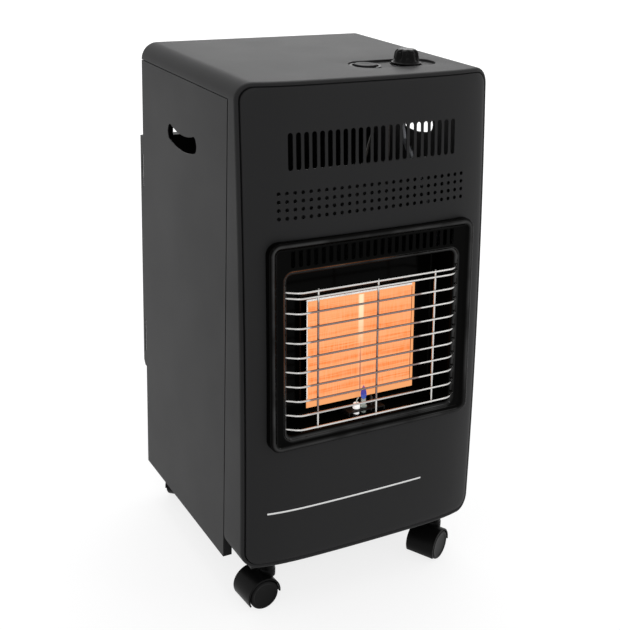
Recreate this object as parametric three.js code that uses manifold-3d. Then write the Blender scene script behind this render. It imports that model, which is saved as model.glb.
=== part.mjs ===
// Portable gas cabinet heater: sheet steel cabinet on four twin-wheel casters, with a
// ceramic infrared burner behind a wire guard and an open-backed bay for a gas bottle.
// Millimetres, +Z up, front towards -Y, origin on the floor under the middle.
import * as THREE from 'three';
import { mergeVertices } from 'three/addons/utils/BufferGeometryUtils.js';
import Module from 'manifold-3d';

const wasm = await Module();
wasm.setup();

// ---- driving dimensions -------------------------------------------------
const gap = 0.3; // clearance between pieces that touch
const sheet = 1.2; // sheet thickness
// cabinet
const halfWidth = 170;
const cabinetTop = 670.4;
const frontBottom = 72; // lower edge of the hood's front ring
const sideBottom = 57.5; // lower edge of the side panels
const rearY = 170.8;
const frontY = -170.8; // most forward line of the front panel, at its bottom
const seamY = -99.9; // vertical seam between hood ring and side panel
const edgeRadius = 21; // rounded upper edges of the hood
const seamDrop = 21.9; // from the top down to the seam under the hood's skirt
const seamZ = cabinetTop - seamDrop;
// front panel: pillowed across, leaning back towards the top
const pillow = { flat: 3.9, edge: 12.9 };
const lean = { slope: 10, curve: 26.5 };
const panelInset = 5.8;
const panelRadius = 16;
const panelFlange = 12;
// openings of the front panel
const pitch = 10;
const slots = { count: 23, width: 5.2, drop: 56.6, tall: 42.8 };
slots.high = cabinetTop - slots.drop;
slots.low = slots.high - slots.tall;
const holes = { columns: 26, rows: 4, drop: 124.7, step: 9.62, radius: 2.6, sides: 4 };
holes.top = cabinetTop - holes.drop;
// recess with the controls in the top
const tray = { left: 29.5, right: 100, y: -63, radius: 25, depth: 3 };
// handle openings: an arc slot that sags in the middle
const handle = { y: 34, z: cabinetTop + 21.6, inner: 114, outer: 134, spread: 21 };
const rearFlange = 40;
const cover = { low: 208, high: cabinetTop - 125.4, deep: 14.2, inset: 1.5 };
// burner group: tilted back with the front
const burnerY = -160;
const burnerDrop = 308.4; // from the top down to the burner's middle
const burnerZ = cabinetTop - burnerDrop;
const tilt = THREE.MathUtils.degToRad(3.6);
const bezel = { halfW: 141.5, halfH: 129.5, radius: 15, bead: 4 };
const recess = { halfW: 121.5, low: -118.5, high: 93, radius: 12, depth: 44.4 };
const louvre = { count: 23, width: 5, low: 97, high: 120 };
const burner = { halfW: 77, low: -94, high: 45.6, front: 28.6 };
const wire = {
  radius: 1.55, proud: 11, bend: recess.halfW - 14.8, end: recess.halfW - 2.1, tall: 81.5,
};
// controls
const knobX = 88;
const controlY = -61.5;
const buttonX = tray.left;
const buttonTravel = 6;
const knobHole = 20; // the knob sinks into this hole when it is pushed
const knobTravel = 3;
// casters
const caster = { trail: 14.5, wheel: 20, halfTrack: 20.5, web: 6 };
const casterPlaces = {
  front_left: { x: -halfWidth + 49, y: frontY + 42.8, turn: 184 },
  front_right: { x: halfWidth - 35, y: frontY + 42.8, turn: 208 },
  rear_left: { x: -halfWidth + 38, y: rearY - 30.8, turn: 48 },
  rear_right: { x: halfWidth - 38, y: rearY - 30.8, turn: 148 },
};
const baseZ = 65.6; // underside of the base pan's floor

// Where level edges on the front surface get points: most near the sides, where it curves.
const columns = [
  -halfWidth + 37, -halfWidth + 58, -halfWidth + 90, 0, halfWidth - 90, halfWidth - 58, halfWidth - 37,
];

// ---- helpers --------------------------------------------------------------
// Solid from a closed geometry.
function solid(geometry) {
  const bare = geometry.index ? geometry.clone() : geometry;
  bare.deleteAttribute('normal');
  bare.deleteAttribute('uv');
  const merged = mergeVertices(bare, 1e-4);
  return new wasm.Manifold(new wasm.Mesh({
    numProp: 3,
    vertProperties: new Float32Array(merged.attributes.position.array),
    triVerts: new Uint32Array(faces(merged)),
  }));
}

// Triangles of a merged geometry without the ones that have no area.
function faces(geometry) {
  const list = [];
  const index = geometry.index.array;
  for (let i = 0; i < index.length; i += 3) {
    const [a, b, c] = [index[i], index[i + 1], index[i + 2]];
    if (a !== b && b !== c && c !== a) list.push(a, b, c);
  }
  return list;
}

// The same outline as plain points, none of them twice.
function tidy(shape, curveSegments) {
  const points = [];
  for (const p of shape.getPoints(curveSegments)) {
    const last = points[points.length - 1];
    if (!last || last.distanceTo(p) > 1e-3) points.push(p);
  }
  if (points[0].distanceTo(points[points.length - 1]) < 1e-3) points.pop();
  return new THREE.Shape(points);
}

// Geometry from a solid.
function geometryOf(body) {
  const mesh = body.getMesh();
  const geometry = new THREE.BufferGeometry();
  const points = new Float32Array(mesh.numVert * 3);
  for (let i = 0; i < mesh.numVert; i += 1) {
    for (let k = 0; k < 3; k += 1) points[3 * i + k] = mesh.vertProperties[mesh.numProp * i + k];
  }
  geometry.setAttribute('position', new THREE.BufferAttribute(points, 3));
  geometry.setIndex(new THREE.BufferAttribute(new Uint32Array(mesh.triVerts), 1));
  geometry.computeVertexNormals();
  return geometry;
}

const join = (...bodies) => bodies.reduce((a, b) => a.add(b));

// Box between two corners.
function block(x0, x1, y0, y1, z0, z1) {
  const box = new THREE.BoxGeometry(x1 - x0, y1 - y0, z1 - z0);
  box.translate((x0 + x1) / 2, (y0 + y1) / 2, (z0 + z1) / 2);
  return solid(box);
}

// Round bar along an axis ('x', 'y' or 'z') from a to b through the point (p, q).
function bar(axis, radius, a, b, p, q, sides = 16, farRadius = radius) {
  const rod = new THREE.CylinderGeometry(farRadius, radius, b - a, sides);
  rod.translate(0, (a + b) / 2, 0);
  if (axis === 'y') rod.translate(p, 0, q);
  if (axis === 'z') {
    rod.rotateX(Math.PI / 2);
    rod.translate(p, q, 0);
  }
  if (axis === 'x') {
    rod.rotateZ(-Math.PI / 2);
    rod.translate(0, p, q);
  }
  return solid(rod);
}

// Outline in a plane, pushed along the plane's normal from a to b.
function plate(shape, plane, a, b, curveSegments = 2) {
  const body = new THREE.ExtrudeGeometry(tidy(shape, curveSegments), { depth: b - a, bevelEnabled: false });
  const turn = new THREE.Matrix4();
  const [ex, ey, ez] = [new THREE.Vector3(1, 0, 0), new THREE.Vector3(0, 1, 0), new THREE.Vector3(0, 0, 1)];
  if (plane === 'xy') body.translate(0, 0, a);
  if (plane === 'yz') {
    body.applyMatrix4(turn.makeBasis(ey, ez, ex));
    body.translate(a, 0, 0);
  }
  if (plane === 'xz') {
    body.applyMatrix4(turn.makeBasis(ex, ez, ey.clone().negate()));
    body.translate(0, b, 0);
  }
  return solid(body);
}

// Rounded rectangle as a shape.
function roundedShape(x0, x1, y0, y1, r) {
  const shape = new THREE.Shape();
  shape.moveTo(x0 + r, y0);
  shape.lineTo(x1 - r, y0);
  shape.absarc(x1 - r, y0 + r, r, -Math.PI / 2, 0);
  shape.lineTo(x1, y1 - r);
  shape.absarc(x1 - r, y1 - r, r, 0, Math.PI / 2);
  shape.lineTo(x0 + r, y1);
  shape.absarc(x0 + r, y1 - r, r, Math.PI / 2, Math.PI);
  shape.lineTo(x0, y0 + r);
  shape.absarc(x0 + r, y0 + r, r, Math.PI, 1.5 * Math.PI);
  return shape;
}

// Upright slot with rounded ends, in as few faces as will show.
function slotShape(x, half, low, high, ends = 2) {
  return polygon([
    ...arc(x, low + half, half, 180, 360, ends),
    ...arc(x, high - half, half, 0, 180, ends),
  ]);
}

// Polygon shape through points.
const polygon = (points) => new THREE.Shape(points.map(([a, b]) => new THREE.Vector2(a, b)));

// Closed surface over a grid of two parameters. loop: both run round (a ring).
// Otherwise the first one runs round and the ends are closed by their middle.
function ringGrid(at, around, across) {
  const points = [];
  const index = [];
  for (let i = 0; i < around; i += 1) {
    for (let j = 0; j < across; j += 1) points.push(...at(i, j));
  }
  const id = (i, j) => (i % around) * across + (j % across);
  for (let i = 0; i < around; i += 1) {
    for (let j = 0; j < across; j += 1) {
      index.push(id(i, j), id(i + 1, j), id(i + 1, j + 1));
      index.push(id(i, j), id(i + 1, j + 1), id(i, j + 1));
    }
  }
  return outward(points, index);
}

// Slab between a front and a back surface over a rectangle of two parameters.
function slab(front, back, nu, nv) {
  const points = [];
  const index = [];
  const row = nv + 1;
  for (const at of [front, back]) {
    for (let i = 0; i <= nu; i += 1) {
      for (let j = 0; j <= nv; j += 1) points.push(...at(i / nu, j / nv));
    }
  }
  const size = (nu + 1) * row;
  const quad = (a, b, c, d) => index.push(a, b, c, a, c, d);
  for (let i = 0; i < nu; i += 1) {
    for (let j = 0; j < nv; j += 1) {
      const a = i * row + j;
      quad(a, a + row, a + row + 1, a + 1);
      quad(size + a, size + a + 1, size + a + row + 1, size + a + row);
    }
  }
  for (let i = 0; i < nu; i += 1) {
    const low = i * row;
    quad(low, size + low, size + low + row, low + row);
    const high = low + nv;
    quad(high, high + row, size + high + row, size + high);
  }
  for (let j = 0; j < nv; j += 1) {
    quad(j, j + 1, size + j + 1, size + j);
    const far = nu * row + j;
    quad(far, size + far, size + far + 1, far + 1);
  }
  return outward(points, index);
}

// Solid with its faces pointing out, whichever way the grid ran.
function outward(points, index) {
  let volume = 0;
  const p = (i) => new THREE.Vector3(points[3 * i], points[3 * i + 1], points[3 * i + 2]);
  for (let i = 0; i < index.length; i += 3) {
    volume += p(index[i]).dot(p(index[i + 1]).cross(p(index[i + 2])));
  }
  const order = [...index];
  if (volume < 0) {
    for (let i = 0; i < order.length; i += 3) {
      [order[i + 1], order[i + 2]] = [order[i + 2], order[i + 1]];
    }
  }
  const geometry = new THREE.BufferGeometry();
  geometry.setAttribute('position', new THREE.BufferAttribute(new Float32Array(points), 3));
  geometry.setIndex(order);
  return solid(geometry);
}

// Points round a rounded rectangle with their outward normals. The upright sides are split
// in steps, the level ones at the columns.
function roundedPath(x0, x1, z0, z1, r, corner = 3, steps = 4, breaks = columns) {
  const path = [];
  const corners = [[x1 - r, z0 + r, -90], [x1 - r, z1 - r, 0], [x0 + r, z1 - r, 90], [x0 + r, z0 + r, 180]];
  corners.forEach(([cx, cz, start], n) => {
    for (let i = 0; i <= corner; i += 1) {
      const angle = THREE.MathUtils.degToRad(start + (90 * i) / corner);
      const [nx, nz] = [Math.cos(angle), Math.sin(angle)];
      path.push({ x: cx + r * nx, z: cz + r * nz, nx, nz });
    }
    const [ax, az, begin] = corners[(n + 1) % 4];
    const angle = THREE.MathUtils.degToRad(begin);
    const from = path[path.length - 1];
    const to = { x: ax + r * Math.cos(angle), z: az + r * Math.sin(angle) };
    const parts = [];
    if (n % 2) {
      const [low, high] = [Math.min(from.x, to.x), Math.max(from.x, to.x)];
      parts.push(...breaks.filter((x) => x > low + 4 && x < high - 4).map((x) => (x - from.x) / (to.x - from.x)));
      parts.sort((a, b) => a - b);
    } else {
      for (let i = 1; i < steps; i += 1) parts.push(i / steps);
    }
    for (const t of parts) {
      path.push({ x: from.x + (to.x - from.x) * t, z: from.z + (to.z - from.z) * t, nx: from.nx, nz: from.nz });
    }
  });
  return path;
}

// Quarter turn of a section, from angle a to b, as [inboard, back] points.
function arc(cx, cy, r, a, b, n = 2) {
  const points = [];
  for (let i = 0; i <= n; i += 1) {
    const angle = THREE.MathUtils.degToRad(a + ((b - a) * i) / n);
    points.push([cx + r * Math.cos(angle), cy + r * Math.sin(angle)]);
  }
  return points;
}

// Round rod along a smooth curve through points.
function rod(points, radius, steps, sides = 8, straight = false) {
  const vectors = points.map((p) => new THREE.Vector3(...p));
  const curve = straight ? new THREE.LineCurve3(...vectors) : new THREE.CatmullRomCurve3(vectors, false, 'catmullrom', 0.3);
  const shape = new THREE.Shape();
  shape.absarc(0, 0, radius, 0, Math.PI * 2);
  return solid(new THREE.ExtrudeGeometry(tidy(shape, sides / 2), { steps, extrudePath: curve }));
}

// Turned body about the Z axis from [radius, height] points that start and end on the axis
// or close on themselves.
function turned(profile, segments = 24) {
  const body = new THREE.LatheGeometry(profile.map(([r, h]) => new THREE.Vector2(r, h)), segments);
  body.rotateX(Math.PI / 2);
  body.deleteAttribute('normal');
  body.deleteAttribute('uv');
  const merged = mergeVertices(body, 1e-4);
  return outward(Array.from(merged.attributes.position.array), faces(merged));
}

// ---- the front surface ----------------------------------------------------
// Depth of the front surface: w grows to the sides, t from bottom to top.
function surfaceY(x, z) {
  const w = (x / halfWidth) ** 2;
  const t = (z - frontBottom) / (cabinetTop - frontBottom);
  return frontY + pillow.flat * w + pillow.edge * w ** 3 + lean.slope * t + lean.curve * t * t;
}

// ---- materials --------------------------------------------------------------
const paint = (color, roughness, metalness = 0) =>
  new THREE.MeshStandardMaterial({ color, roughness, metalness });
const looks = {
  charcoal: () => paint(0x35363a, 0.55, 0.2),
  enamel: () => paint(0x0d0d0c, 0.15, 0.0),
  zinc: () => paint(0xa8abad, 0.4, 0.9),
  chrome: () => paint(0xd8dadc, 0.15, 1.0),
  stainless: () => paint(0xc4c2bd, 0.25, 1.0),
  ceramic: () => paint(0xf2a76c, 0.9),
  porcelain: () => paint(0xeeece6, 0.35),
  brass: () => paint(0xb08d4a, 0.35, 0.9),
  copper: () => paint(0xa9643c, 0.35, 0.9),
  plastic: () => paint(0x141415, 0.35),
  wheel: () => paint(0x2a2a2b, 0.5),
  button: () => paint(0x8d8f92, 0.35, 0.3),
};

const heater = new THREE.Group();
const cabinet = new THREE.Group();
heater.add(cabinet);
const burnerGroup = new THREE.Group();
burnerGroup.position.set(0, burnerY, burnerZ);
burnerGroup.rotation.x = -tilt;
cabinet.add(burnerGroup);

// Adds one named piece to a group.
function piece(name, body, look, parent = cabinet) {
  const mesh = new THREE.Mesh(geometryOf(body), looks[look]());
  mesh.name = name;
  parent.add(mesh);
  return mesh;
}

// ---- hood: top cover and front ring in one ---------------------------------
const ringRadius = 4;
const lipEnd = panelInset - gap;
const edgeSteps = 5;

// The hood's ring runs round the front panel: skirt, rounded front edge and a narrow lip.
function hoodRing() {
  const path = roundedPath(-halfWidth, halfWidth, frontBottom, cabinetTop, edgeRadius, edgeSteps);
  const section = [
    ...arc(ringRadius, ringRadius, ringRadius, 180, 270),
    [lipEnd, 0],
    [lipEnd, sheet],
    ...arc(ringRadius, ringRadius, ringRadius - sheet, 270, 180, 1),
  ];
  const across = section.length + 2;
  return ringGrid((i, j) => {
    const p = path[i];
    const seam = j >= section.length;
    const inboard = seam ? (j === section.length ? sheet : 0) : section[j][0];
    const y = seam ? seamY : surfaceY(p.x, p.z) + section[j][1];
    return [p.x - p.nx * inboard, y, p.z - p.nz * inboard];
  }, path.length, across);
}

// Half outline of the top sheet, side edges rounded, z from the seam up.
function topShape(inset, low) {
  const x = halfWidth - edgeRadius;
  const z = cabinetTop - edgeRadius;
  const r = edgeRadius - inset;
  return polygon([
    [x + r, low], ...arc(x, z, r, 0, 90, edgeSteps), ...arc(-x, z, r, 90, 180, edgeSteps), [-x - r, low],
  ]);
}

function stadium(left, right, y, r) {
  const shape = new THREE.Shape();
  shape.absarc(right, y, r, -Math.PI / 2, Math.PI / 2);
  shape.absarc(left, y, r, Math.PI / 2, 1.5 * Math.PI);
  return shape;
}

function hood() {
  const shell = plate(topShape(0, seamZ), 'xz', seamY - 1, rearY)
    .subtract(plate(topShape(sheet, seamZ - 5), 'xz', seamY - 3, rearY + 2));
  const rearLip = plate(topShape(0.2, seamZ), 'xz', rearY - sheet, rearY)
    .subtract(block(-halfWidth + rearFlange, halfWidth - rearFlange, rearY - 5, rearY + 5, 0, seamZ + 3.5));
  let body = join(hoodRing(), shell, rearLip);
  const floor = cabinetTop - tray.depth;
  body = body.subtract(plate(stadium(tray.left, tray.right, tray.y, tray.radius), 'xy', floor - 0.5, cabinetTop + 9, 5));
  const well = plate(stadium(tray.left, tray.right, tray.y, tray.radius + sheet), 'xy', floor - sheet, cabinetTop - 0.4, 5)
    .subtract(plate(stadium(tray.left, tray.right, tray.y, tray.radius), 'xy', floor, cabinetTop + 9, 5));
  body = body.add(well);
  body = body.subtract(bar('z', knobHole, floor - 20, floor + 20, knobX, controlY, 24));
  return body.subtract(bar('z', cup.radius + gap, floor - 20, floor + 20, buttonX, controlY, 24));
}

// ---- igniter: cup in the recess with a push button in it --------------------
const floorTop = cabinetTop - tray.depth;
const cup = { radius: 17.9, inner: 16.5, deep: 17.4, base: 2, rim: 19.5, body: 11, tail: 2.5 };
cup.floor = floorTop - cup.deep;
cup.low = cup.floor - cup.base;

function igniterBody() {
  const top = floorTop + gap + 1.6;
  const holder = turned([
    [0, cup.low], [cup.radius, cup.low], [cup.radius, floorTop + gap], [cup.rim, floorTop + gap],
    [cup.rim, top], [cup.inner, top], [cup.inner, cup.floor], [0, cup.floor],
  ], 20).translate([buttonX, controlY, 0]);
  return join(holder,
    bar('z', cup.body, cup.low - 44, cup.low + 1, buttonX, controlY, 10),
    bar('z', cup.tail, cup.low - 52, cup.low - 43, buttonX, controlY, 6));
}

function ignitionButton() {
  const r = cup.inner - 0.5;
  const low = cup.floor + buttonTravel + 1;
  return turned([
    [0, low], [r, low], [r, cabinetTop - 0.6], [r - 1.4, cabinetTop + 0.6], [r - 4, cabinetTop + 0.9],
    [0, cabinetTop - 0.2],
  ], 20).translate([buttonX, controlY, 0]);
}

// ---- front panel --------------------------------------------------------------
const panel = {
  x: halfWidth - panelInset, low: frontBottom + panelInset, high: cabinetTop - panelInset,
};

function panelRim() {
  const path = roundedPath(-panel.x, panel.x, panel.low, panel.high, panelRadius);
  const r = 5;
  const section = [
    [0, panelFlange],
    ...arc(r, r, r, 180, 270),
    [8, 0],
    [8, sheet],
    ...arc(r, r, r - sheet, 270, 180, 1),
    [sheet, panelFlange],
  ];
  return ringGrid((i, j) => {
    const p = path[i];
    const [inboard, back] = section[j];
    const x = p.x - p.nx * inboard;
    const z = p.z - p.nz * inboard;
    const level = back > r ? surfaceY(p.x - p.nx * r, p.z - p.nz * r) : surfaceY(x, z);
    return [x, level + back, z];
  }, path.length, section.length);
}

function frontPanel() {
  const across = [-halfWidth + 2, -halfWidth + 20, ...columns, halfWidth - 20, halfWidth - 2];
  const at = (offset) => (u, v) => {
    const x = across[Math.round(u * (across.length - 1))];
    const z = panel.low - 4 + (panel.high - panel.low + 8) * v;
    return [x, surfaceY(x, z) + offset, z];
  };
  const inset = 7;
  const outline = roundedShape(-panel.x + inset, panel.x - inset, panel.low + inset, panel.high - inset, panelRadius - inset);
  let body = slab(at(0), at(sheet), 10, 5).intersect(plate(outline, 'xz', -200, -80));
  body = body.add(panelRim());
  const cutters = [];
  const half = slots.width / 2;
  for (let i = 0; i < slots.count; i += 1) {
    const x = (i - (slots.count - 1) / 2) * pitch;
    cutters.push(plate(slotShape(x, half, slots.low, slots.high), 'xz', -190, -90));
  }
  for (let row = 0; row < holes.rows; row += 1) {
    for (let i = 0; i < holes.columns; i += 1) {
      const x = (i - (holes.columns - 1) / 2) * pitch;
      cutters.push(bar('y', holes.radius, -190, -90, x, holes.top - row * holes.step, holes.sides));
    }
  }
  const w = bezel.halfW - 4;
  const h = bezel.halfH - 4;
  cutters.push(plate(roundedShape(-w, w, burnerZ - h, burnerZ + h, bezel.radius - 4), 'xz', -190, -90));
  return cutters.reduce((a, b) => a.subtract(b), body);
}

// ---- side panels ------------------------------------------------------------
const sideTop = seamZ - gap;
const sideFront = seamY + gap;
const peg = { x: halfWidth - 20, z: [cover.low + 42, cover.high - 45], radius: 3 };

// Arc slot with rounded ends: the handle opening, in the (y, z) plane.
function handleShape() {
  const shape = new THREE.Shape();
  const reach = THREE.MathUtils.degToRad(handle.spread);
  const ease = 0.045;
  const point = (r, a) => [handle.y + r * Math.sin(a), handle.z - r * Math.cos(a)];
  const steps = 8;
  shape.moveTo(...point(handle.outer, -reach + ease));
  for (let i = 1; i <= steps; i += 1) {
    shape.lineTo(...point(handle.outer, -reach + ease + ((2 * reach - 2 * ease) * i) / steps));
  }
  shape.lineTo(...point(handle.outer - 3, reach - 0.012));
  shape.lineTo(...point(handle.outer - 8, reach + 0.01));
  shape.lineTo(...point(handle.inner + 4, reach + 0.008));
  for (let i = 0; i <= steps; i += 1) {
    shape.lineTo(...point(handle.inner, reach - 0.025 - ((2 * reach - 0.05) * i) / steps));
  }
  shape.lineTo(...point(handle.inner + 4, -reach - 0.008));
  shape.lineTo(...point(handle.outer - 8, -reach - 0.01));
  shape.lineTo(...point(handle.outer - 3, -reach + 0.012));
  return shape;
}

// Built for the right side; the left one is its mirror image.
function sidePanel(side) {
  const x = halfWidth;
  const hem = 12;
  let body = join(
    block(x - sheet, x, sideFront, rearY, sideBottom, sideTop),
    block(x - hem, x, sideFront, sideFront + sheet, sideBottom, sideTop),
    block(x - hem, x, sideFront, rearY, sideBottom, sideBottom + sheet),
    block(x - hem, x, sideFront, rearY, sideTop - sheet, sideTop),
    block(x - rearFlange, x, rearY - sheet, rearY, sideBottom, sideTop),
    block(x - rearFlange, x - rearFlange + sheet, rearY - 8, rearY, frontBottom + 1, sideTop),
  );
  body = body.subtract(plate(handleShape(), 'yz', x - 3, x + 3));
  for (const z of peg.z) body = body.subtract(bar('y', peg.radius + gap, rearY - 5, rearY + 5, peg.x, z, 12));
  return side > 0 ? body : body.mirror([1, 0, 0]);
}

// ---- base pan ----------------------------------------------------------------
const socket = { radius: 9, flange: 13 };

function basePan() {
  const inner = halfWidth - sheet - gap;
  const front = -150;
  const rear = rearY - sheet - gap;
  const step = sideFront + sheet + gap;
  const narrow = inner - 14;
  const rimTop = frontBottom - gap;
  const outline = (inset) => polygon([
    [-inner + inset, step + inset], [-narrow + inset, step + inset], [-narrow + inset, front + inset],
    [narrow - inset, front + inset], [narrow - inset, step + inset], [inner - inset, step + inset],
    [inner - inset, rear - inset], [-inner + inset, rear - inset],
  ]);
  let body = plate(outline(0), 'xy', baseZ, rimTop).subtract(plate(outline(sheet), 'xy', baseZ + sheet, rimTop + 5));
  for (const { x, y } of Object.values(casterPlaces)) {
    body = body.subtract(bar('z', socket.radius + gap, baseZ - 10, baseZ + 10, x, y, 12));
  }
  // Vent slots in the floor of the bottle bay.
  for (let i = -2; i <= 2; i += 1) {
    body = body.subtract(plate(slotShape(i * 34, 4, -30, 110, 2), 'xy', baseZ - 5, baseZ + 5));
  }
  return body;
}

// ---- rear cover ----------------------------------------------------------------
function rearCover() {
  const { low, high } = cover;
  const x = halfWidth - cover.inset;
  const back = rearY + cover.deep;
  const front = rearY + gap;
  const side = (inset) => polygon([
    [front - (inset ? 5 : 0), low + inset], [back - 5, low + inset], [back - inset, low + 7],
    [back - inset, high - inset], [front - (inset ? 5 : 0), high - inset],
  ]);
  let body = plate(side(0), 'yz', -x, x).subtract(plate(side(sheet), 'yz', -x + sheet, x - sheet));
  // Finger cut-outs round each rear corner, with a band left at the corner.
  for (const [z0, z1] of [[low + 23, low + 71], [high - 70, high - 25]]) {
    for (const s of [-1, 1]) {
      body = body.subtract(block(Math.min(s * (x - 3), s * (x + 3)), Math.max(s * (x - 3), s * (x + 3)), front + 1.5, back - 6.5, z0, z1));
      body = body.subtract(block(Math.min(s * (x - 16), s * (x - 2)), Math.max(s * (x - 16), s * (x - 2)), back - 3, back + 3, z0 - 4, z1));
    }
  }
  // Push-fit pegs that plug into the rear flanges.
  for (const z of peg.z) {
    for (const s of [-1, 1]) {
      body = body.add(bar('y', peg.radius, rearY - 6, back - 0.5, s * peg.x, z, 12));
    }
  }
  return body;
}

// ---- partition ---------------------------------------------------------------------
const partitionY = -76;
const partitionTop = seamZ - 100.5;
const partitionSlot = { pitch: 50, half: 7, low: baseZ + 16, tall: 36 };

function partition() {
  const x = halfWidth - 2 * (sheet + gap);
  const y = partitionY;
  const low = baseZ + sheet + gap;
  const high = partitionTop;
  let body = join(
    block(-x, x, y, y + sheet, low, high),
    block(-x, x, y, y + panelFlange + 2, low, low + sheet),
    block(-x + panelFlange + 2, x - panelFlange - 2, y, y + panelFlange, high - sheet, high),
  );
  for (let i = -2; i <= 2; i += 1) {
    const slot = slotShape(i * partitionSlot.pitch, partitionSlot.half, partitionSlot.low,
      partitionSlot.low + partitionSlot.tall, 3);
    body = body.subtract(plate(slot, 'xz', y - 5, y + 5));
  }
  return body;
}

// ---- burner bezel (burner group: x, depth, height) --------------------------------
// Depth of the cabinet's front surface seen from the bezel's plane.
function surfaceDepth(x, h) {
  const z = burnerZ + h * Math.cos(tilt);
  return (surfaceY(x, z) - burnerY - h * Math.sin(tilt)) / Math.cos(tilt);
}

function bezelRim() {
  const path = roundedPath(-bezel.halfW, bezel.halfW, -bezel.halfH, bezel.halfH, bezel.radius, 3, 4);
  const b = bezel.bead;
  const section = [
    ...arc(3, 3 - b, 3, 180, 270),
    ...arc(6, 4 - b, 4, 280, 330, 1),
    [11, 0],
    [11, sheet],
    [9, sheet],
    ...arc(6, 4 - b, 4 - sheet, 330, 280, 1),
    ...arc(3, 3 - b, 3 - sheet, 270, 180, 1),
  ];
  return ringGrid((i, j) => {
    const p = path[i];
    const foot = j >= section.length;
    const inboard = foot ? (j === section.length ? sheet : 0) : section[j][0];
    const x = p.x - p.nx * inboard;
    const h = p.z - p.nz * inboard;
    const depth = foot ? surfaceDepth(p.x, p.z) - gap - 0.1 : section[j][1];
    return [x, depth, h];
  }, path.length, section.length + 2);
}

function recessWall() {
  const path = roundedPath(-recess.halfW, recess.halfW, recess.low, recess.high, recess.radius, 3, 1, []);
  const section = [
    [-2, 0], [0, 0], [1.2, 2.2], [4.4, 2.8], [5.6, 5], [9.5, recess.depth],
    [8.3, recess.depth], [4.3, 5.6], [3.4, 4], [0.2, 3.3], [-2, sheet],
  ];
  return ringGrid((i, j) => {
    const p = path[i];
    const [inboard, back] = section[j];
    return [p.x - p.nx * inboard, back, p.z - p.nz * inboard];
  }, path.length, section.length);
}

const pilotDepth = 21;

function burnerBezel() {
  const w = bezel.halfW - 10;
  const h = bezel.halfH - 10;
  const r = recess;
  const border = plate(roundedShape(-w, w, -h, h, bezel.radius - 10), 'xz', 0, sheet)
    .subtract(plate(roundedShape(-r.halfW - 1, r.halfW + 1, r.low - 1, r.high + 1, r.radius + 1), 'xz', -5, 5));
  const back = plate(roundedShape(-r.halfW + 9, r.halfW - 9, r.low + 9, r.high - 9, 4), 'xz', r.depth - sheet, r.depth)
    .subtract(block(-burner.halfW - 1.2, burner.halfW + 1.2, 30, 50, burner.low - 1.2, burner.high + 1.2));
  let body = join(bezelRim(), border, recessWall(), back);
  const half = louvre.width / 2;
  for (let i = 0; i < louvre.count; i += 1) {
    const x = (i - (louvre.count - 1) / 2) * pitch;
    body = body.subtract(plate(slotShape(x, half, louvre.low, louvre.high, 2), 'xz', -3, 3));
  }
  // Opening in the recess's floor for the pilot pieces.
  return body.subtract(block(-19, 19, pilotDepth - 7, pilotDepth + 7, r.low - 5, r.low + 15));
}

// ---- wire guard -----------------------------------------------------------------
function wireGuard() {
  const top = 62.5; // height of the second wire; the first is 7 above it
  const step = 18.2;
  const heights = [top + 7];
  for (let i = 0; i < 10; i += 1) heights.push(top - i * step);
  const along = (h) => {
    const half = [[wire.end, 0.7], [wire.bend + 1.4, -wire.proud + 1.4], [wire.bend - 1.5, -wire.proud]];
    const right = half.map(([x, y]) => new THREE.Vector3(x, y, h));
    const left = half.map(([x, y]) => new THREE.Vector3(-x, y, h)).reverse();
    return bentBar([...right, ...left]);
  };
  const wires = heights.map(along);
  const ends = [top - 9 * step - 2.2, top + 7 + 1.2];
  for (const x of [-wire.tall, 0, wire.tall]) {
    wires.push(bar('z', wire.radius, ends[0], ends[1], x, -wire.proud + 2 * wire.radius - 0.5, 6));
  }
  return join(...wires);
}

// Bar of six sides through points that lie in one level plane.
function bentBar(points) {
  const sides = 6;
  const rings = points.map((p, i) => {
    const before = points[Math.max(i - 1, 0)];
    const after = points[Math.min(i + 1, points.length - 1)];
    const run = after.clone().sub(before).normalize();
    const across = new THREE.Vector3(-run.y, run.x, 0);
    return { p, across };
  });
  const list = [];
  const index = [];
  rings.forEach(({ p, across }) => {
    for (let k = 0; k < sides; k += 1) {
      const angle = (Math.PI * 2 * (k + 0.5)) / sides;
      const q = p.clone().addScaledVector(across, wire.radius * Math.cos(angle));
      q.z += wire.radius * Math.sin(angle);
      list.push(q.x, q.y, q.z);
    }
  });
  const last = rings.length - 1;
  for (let i = 0; i < last; i += 1) {
    for (let k = 0; k < sides; k += 1) {
      const a = i * sides + k;
      const b = i * sides + ((k + 1) % sides);
      index.push(a, b, b + sides, a, b + sides, a + sides);
    }
  }
  for (let k = 1; k < sides - 1; k += 1) {
    index.push(0, k + 1, k);
    index.push(last * sides, last * sides + k, last * sides + k + 1);
  }
  return outward(list, index);
}

// ---- burner -----------------------------------------------------------------------
const wall = 1.2;
const box = {
  halfW: burner.halfW - wall - gap,
  low: burner.low + wall + gap,
  high: burner.high - wall - gap,
  front: burner.front + wall + gap,
  back: 72,
};
const tube = { depth: 60, h: -60, radius: 9 };
const injector = { arm: box.halfW + 45, radius: 5, nut: 7.5 };
injector.end = injector.arm + 13.5;

function burnerFrame() {
  const b = burner;
  const f = b.front;
  let body = block(-b.halfW, b.halfW, f, 42, b.low, b.high)
    .subtract(block(-b.halfW + wall, b.halfW - wall, f + wall, 60, b.low + wall, b.high - wall));
  body = body.subtract(plate(roundedShape(-b.halfW + 3.2, b.halfW - 3.2, b.low + 7, b.high - 4, 2), 'xz', f - 5, f + 5));
  return body;
}

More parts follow.
